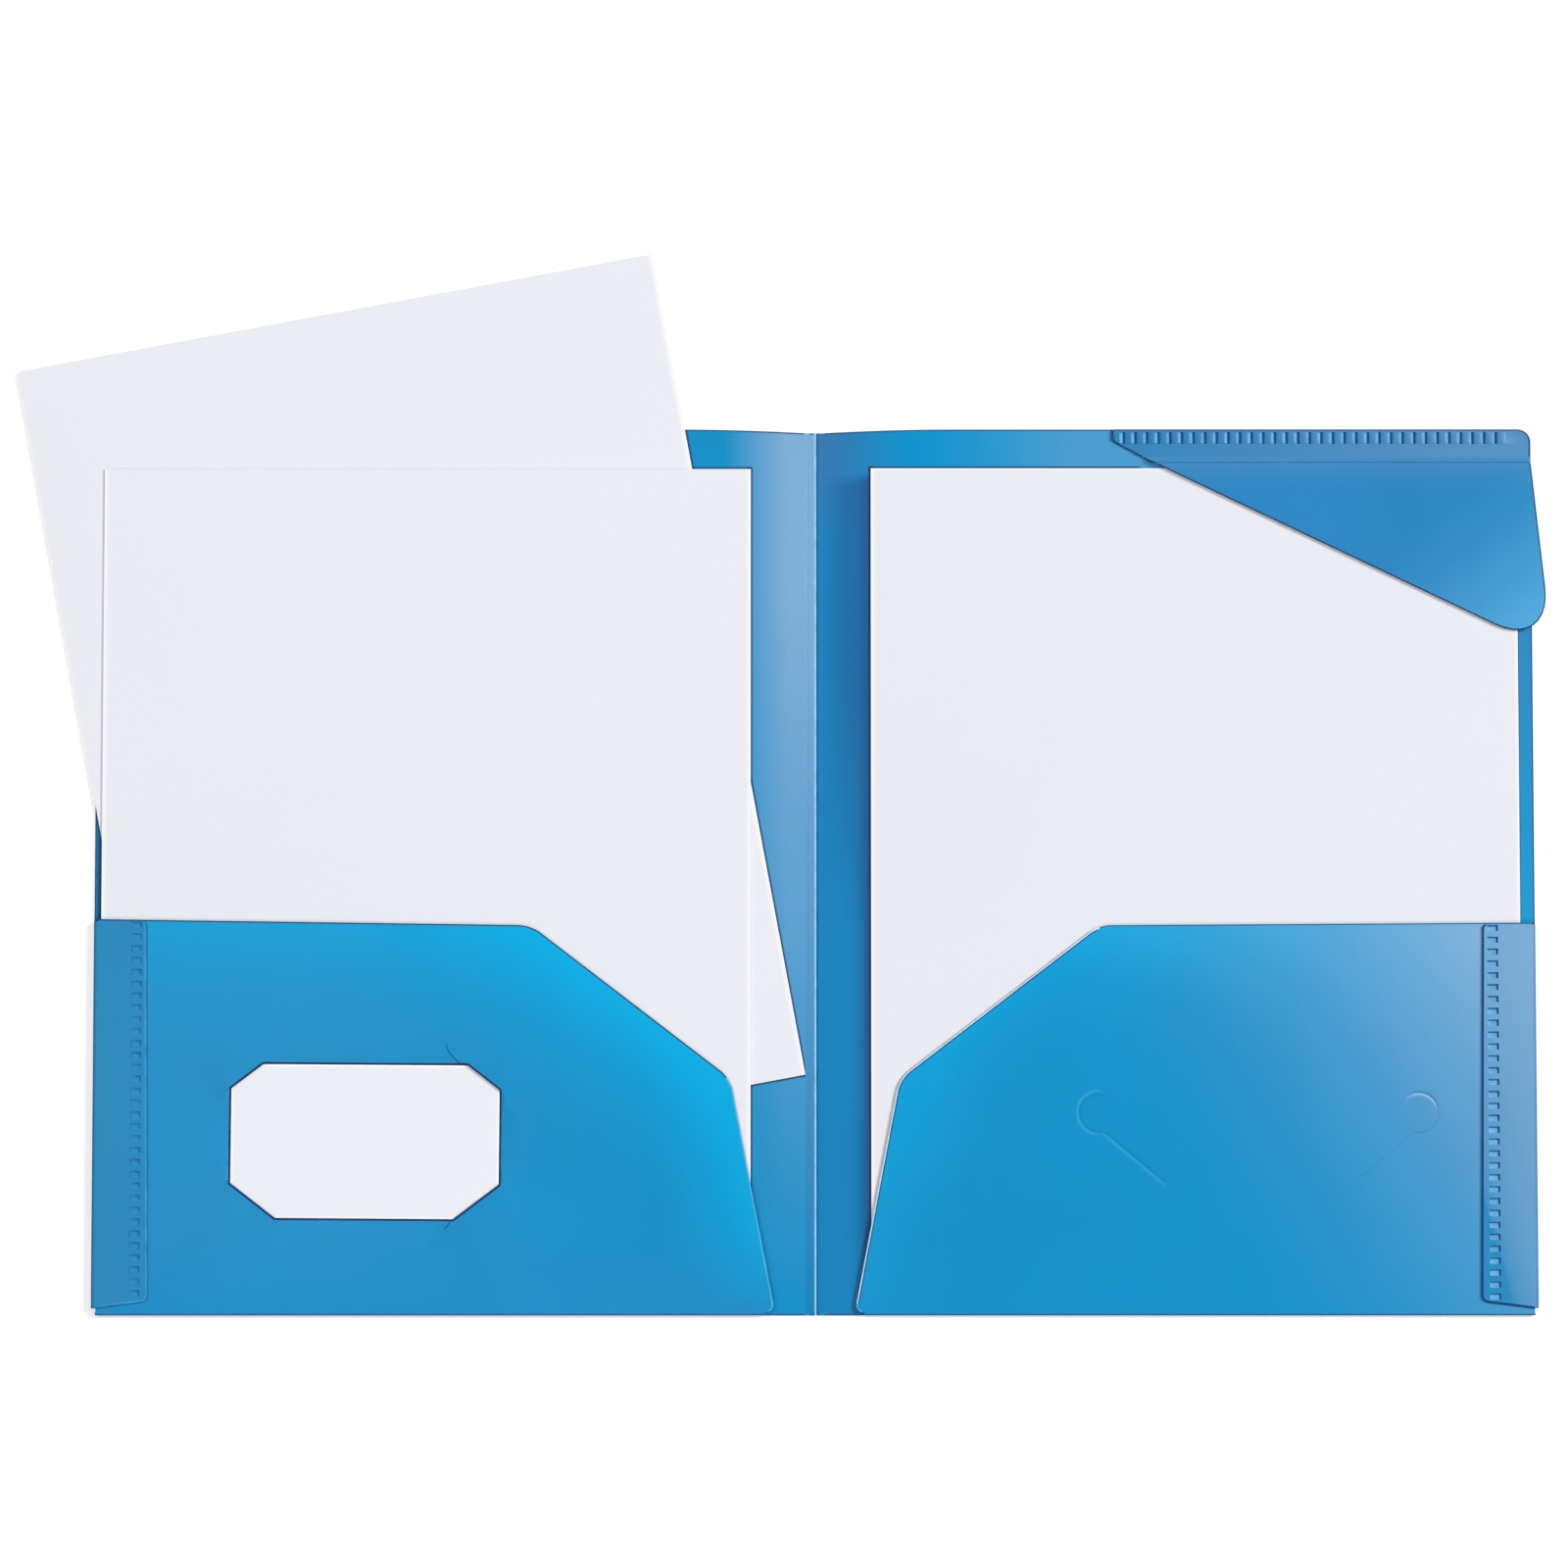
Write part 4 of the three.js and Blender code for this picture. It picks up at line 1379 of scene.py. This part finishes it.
# painted shade along the bottom fold's downward-facing round
BOTTOM_SHADE_LINE = (EDGE_NAVY, 0.8, ((0, -146.7), (0, -147.3)))
TAB_SWEEP = ((199, -27), (257, -11), 0.46)
UP_THE_COVER = ((0, -150), (0, 90), 1.25)
NEAR_TOP = ((0, 110), (0, 135))
OUTER_STRIP = ((225, 0), (235, 0))
BESIDE_SHEET = ((30, 0), (24, 0))
AWAY_FROM_FOLD = ((-201, 0), (-200, 0))
FRONT_TOP = ((0, 135.1), (0, 134.5))
FRONT_SIDE = ((-20.5, 0), (-21.1, 0))
TILTED_SIDE = ((-14.35, -2.69), (-14.94, -2.8))
TILTED_FOOT = ((12.36, -66.05), (12.25, -65.46))
RIGHT_TOP = ((0, 135.4), (0, 134.8))
RIGHT_SIDE = ((17.7, 0), (18.4, 0))

left_pocket_finish = satin_film(
    "left_pocket_blue",
    MID_BLUE,
    (LEFT_BLUE, 1.0, ((140, 0), (-153, 0), 3.77)),
    # painted glow toward the left pocket's top, slanting and inner edges
    (PAINTED_GLOW_CYAN, 0.46, ((0, -67), (0, -18), 1.8)),
    (PAINTED_GLOW_CYAN, 1.38, ((-97, -87), (-60, -33), 2.21)),
    (PAINTED_GLOW_CYAN, 0.77, ((-52, -112), (-22, -107), 1.52)),
    (FOOT_BLUE, 1.0, ((0, -105), (0, -146), 2)),
    BOTTOM_SHADE_LINE,
)
# the left tab's film, with a painted shade line along the outer fold's edge
left_tab_finish = satin_film(
    "left_tab_blue", TAB_BLUE, (EDGE_NAVY, 0.8, ((-238.8, 0), (-239.4, 0)))
)
front_cover_finish = satin_film(
    "front_cover_blue",
    RIGHT_BLUE,
    (MID_BLUE, 0.5, ((0, 74), (0, -49), 1.2)),
    (COVER_SHEEN, 1.0, ((-30, 0), (-9, 0), 1.2), UP_THE_COVER),
    contact_shadow(0.85, FRONT_TOP, FRONT_SIDE, AWAY_FROM_FOLD),
    contact_shadow(0.85, FRONT_SIDE, FRONT_TOP),
    contact_shadow(0.85, TILTED_SIDE, TILTED_FOOT, AWAY_FROM_FOLD),
    contact_shadow(0.85, TILTED_FOOT, TILTED_SIDE, AWAY_FROM_FOLD),
    # painted shade on the cover's narrow strip left of the front sheet
    (CONTACT_SHADOW_NAVY, 0.8, ((-239.5, 0), (-238, 0)), ((0, 60), (0, 20)), ((-234, 0), (-235, 0))),
)
spine_finish = satin_film(
    "spine_blue",
    # painted shade over the spine, with painted sheen over its left half
    SHADED_SPINE_BLUE,
    (COVER_SHEEN, 1.0, ((0.4, 0), (0.1, 0)), UP_THE_COVER),
    (SLATE_BLUE, 1.0, ((0.1, 0), (0.4, 0)), NEAR_TOP),
)
back_cover_finish = satin_film(
    "back_cover_blue",
    STRIP_BLUE,
    # painted shade on the cover beside the spine
    (SHADED_SPINE_BLUE, 1.0, ((60, 0), (10, 0), 3)),
    (SLATE_BLUE, 1.0, ((32, 0), (4, 0), 1.5), NEAR_TOP),
    (TOP_SHEEN, 0.7, ((33, 0), (87, 0), 1.7)),
    (SHADE_BLUE, 1.0, ((3, 0), (17, 0), 4), ((0, 133), (0, 130)), BESIDE_SHEET),
    (SHADE_BLUE, 0.6, ((0, 0), (11, 0)), ((0, -20), (0, 60)), ((0, 133), (0, 128)), BESIDE_SHEET),
    (OUTER_BLUE, 1.0, OUTER_STRIP),
    (SLATE_BLUE, 0.75, OUTER_STRIP, ((0, -5), (0, 105))),
    contact_shadow(0.9, RIGHT_SIDE, RIGHT_TOP),
    contact_shadow(0.9, RIGHT_TOP, RIGHT_SIDE, ((110, 0), (108, 0))),
    contact_shadow(0.7, ((235.3, 0), (234.8, 0))),
)
right_pocket_finish = satin_film(
    "right_pocket_blue",
    RIGHT_BLUE,
    # painted glow toward the right pocket's top, slanting and inner edges
    (PAINTED_GLOW_CYAN, 0.62, ((0, -69), (0, -18), 2.2)),
    (PAINTED_GLOW_CYAN, 0.12, ((71, -53), (64, -44), 1.5)),
    (PAINTED_GLOW_CYAN, 0.43, ((47, -111), (24, -98), 1.5)),
    (GREY_SHEEN, 1.0, ((126, -134), (251, -57), 2.52)),
    BOTTOM_SHADE_LINE,
    *tongue_layers(),
)
right_tab_finish = satin_film("right_tab_blue", TAB_BLUE, (GREY_SHEEN, 1.0, TAB_SWEEP))
right_fold_finish = satin_film(
    "right_fold_blue",
    TAB_BLUE,
    (FOLD_SHEEN, 1.0, TAB_SWEEP),
    # painted shade line along the right fold's outer edge
    (EDGE_NAVY, 0.8, ((238.8, 0), (239.4, 0))),
)
flap_finish = satin_film(
    "flap_blue",
    FLAP_BLUE,
    (FLAP_GREY_SHEEN, 0.6, ((0, 127), (0, 137), 1.5)),
    (FLAP_SHEEN, 1.0, ((211, 122), (240, 85), 1.5)),
)
strip_finish = satin_film("strip_blue", WELD_STRIP_BLUE, (FLAP_GREY_SHEEN, 1.0, ((100, 0), (215, 0))))
front_highlights = (((-23, 0), (-21.4, 0)), ((-235.6, 0), (-237.2, 0)))
front_paper = plain_paper("front_letter_paper", SHEET_WHITE, PAPER_TOOTH, *front_highlights)
tilted_highlight = ((-17, -3.18), (-15.4, -2.88))
tilted_paper = plain_paper("tilted_letter_paper", SHEET_WHITE, PAPER_TOOTH, tilted_highlight)
right_highlights = (((20.2, 0), (18.8, 0)), ((233.4, 0), (234.8, 0)), ((0, 133.4), (0, 134.6)))
right_paper = plain_paper("right_letter_paper", RIGHT_SHEET_WHITE, PAPER_TOOTH, *right_highlights)
card_finish = plain_paper("card_stock", CARD_WHITE, CARD_TOOTH)
card_highlight = plain_paper("card_highlight", HIGHLIGHT_WHITE, CARD_TOOTH)

# The folder, from the table up

cover_film(left, front_cover_finish)
cover_film(right, back_cover_finish)
spine_film(spine_finish)
crease_web("front_crease_film", LEFT, spine_finish)
crease_web("back_crease_film", RIGHT, spine_finish)
bottom_fold(left, left_pocket_finish)
bottom_fold(right, right_pocket_finish)
side_fold(left, left_tab_finish)
side_fold(right, right_fold_finish)
card = CardPlace()
left_pocket(card, left_pocket_finish)
business_card(card, (card_finish, card_highlight))
right_pocket(right_pocket_finish)
# left tab: painted shade on the marks' walls and the rim's outer band, painted highlight on its inner band
left_tab_finishes = (left_tab_finish, faint_shade, soft_edge_highlight, edge, faint_shade, edge)
side_tab(left, left_tab_finishes, looks=(1, 2), rim_width=RIM, both_ends=True)
# right tab: painted shade on the marks' walls and the bold rim, painted highlight on the marks' floors
right_tab_finishes = (right_tab_finish, weld_shade, mark_highlight, edge_in_shade, mark_shade, edge)
side_tab(right, right_tab_finishes, looks=(3, 0), rim_width=TAB_RIM, both_ends=False)
weld_strip((strip_finish, weld_shade, rib_highlight, edge))
corner_flap_film(flap_finish)
flap_web(flap_finish)
letter_sheet("tilted_letter_sheet", "left_tilted_sheet", tilted_paper, TILT)
letter_sheet("front_letter_sheet", "left_front_sheet", front_paper)
letter_sheet("right_letter_sheet", "right_sheet", right_paper)

rest_selection()
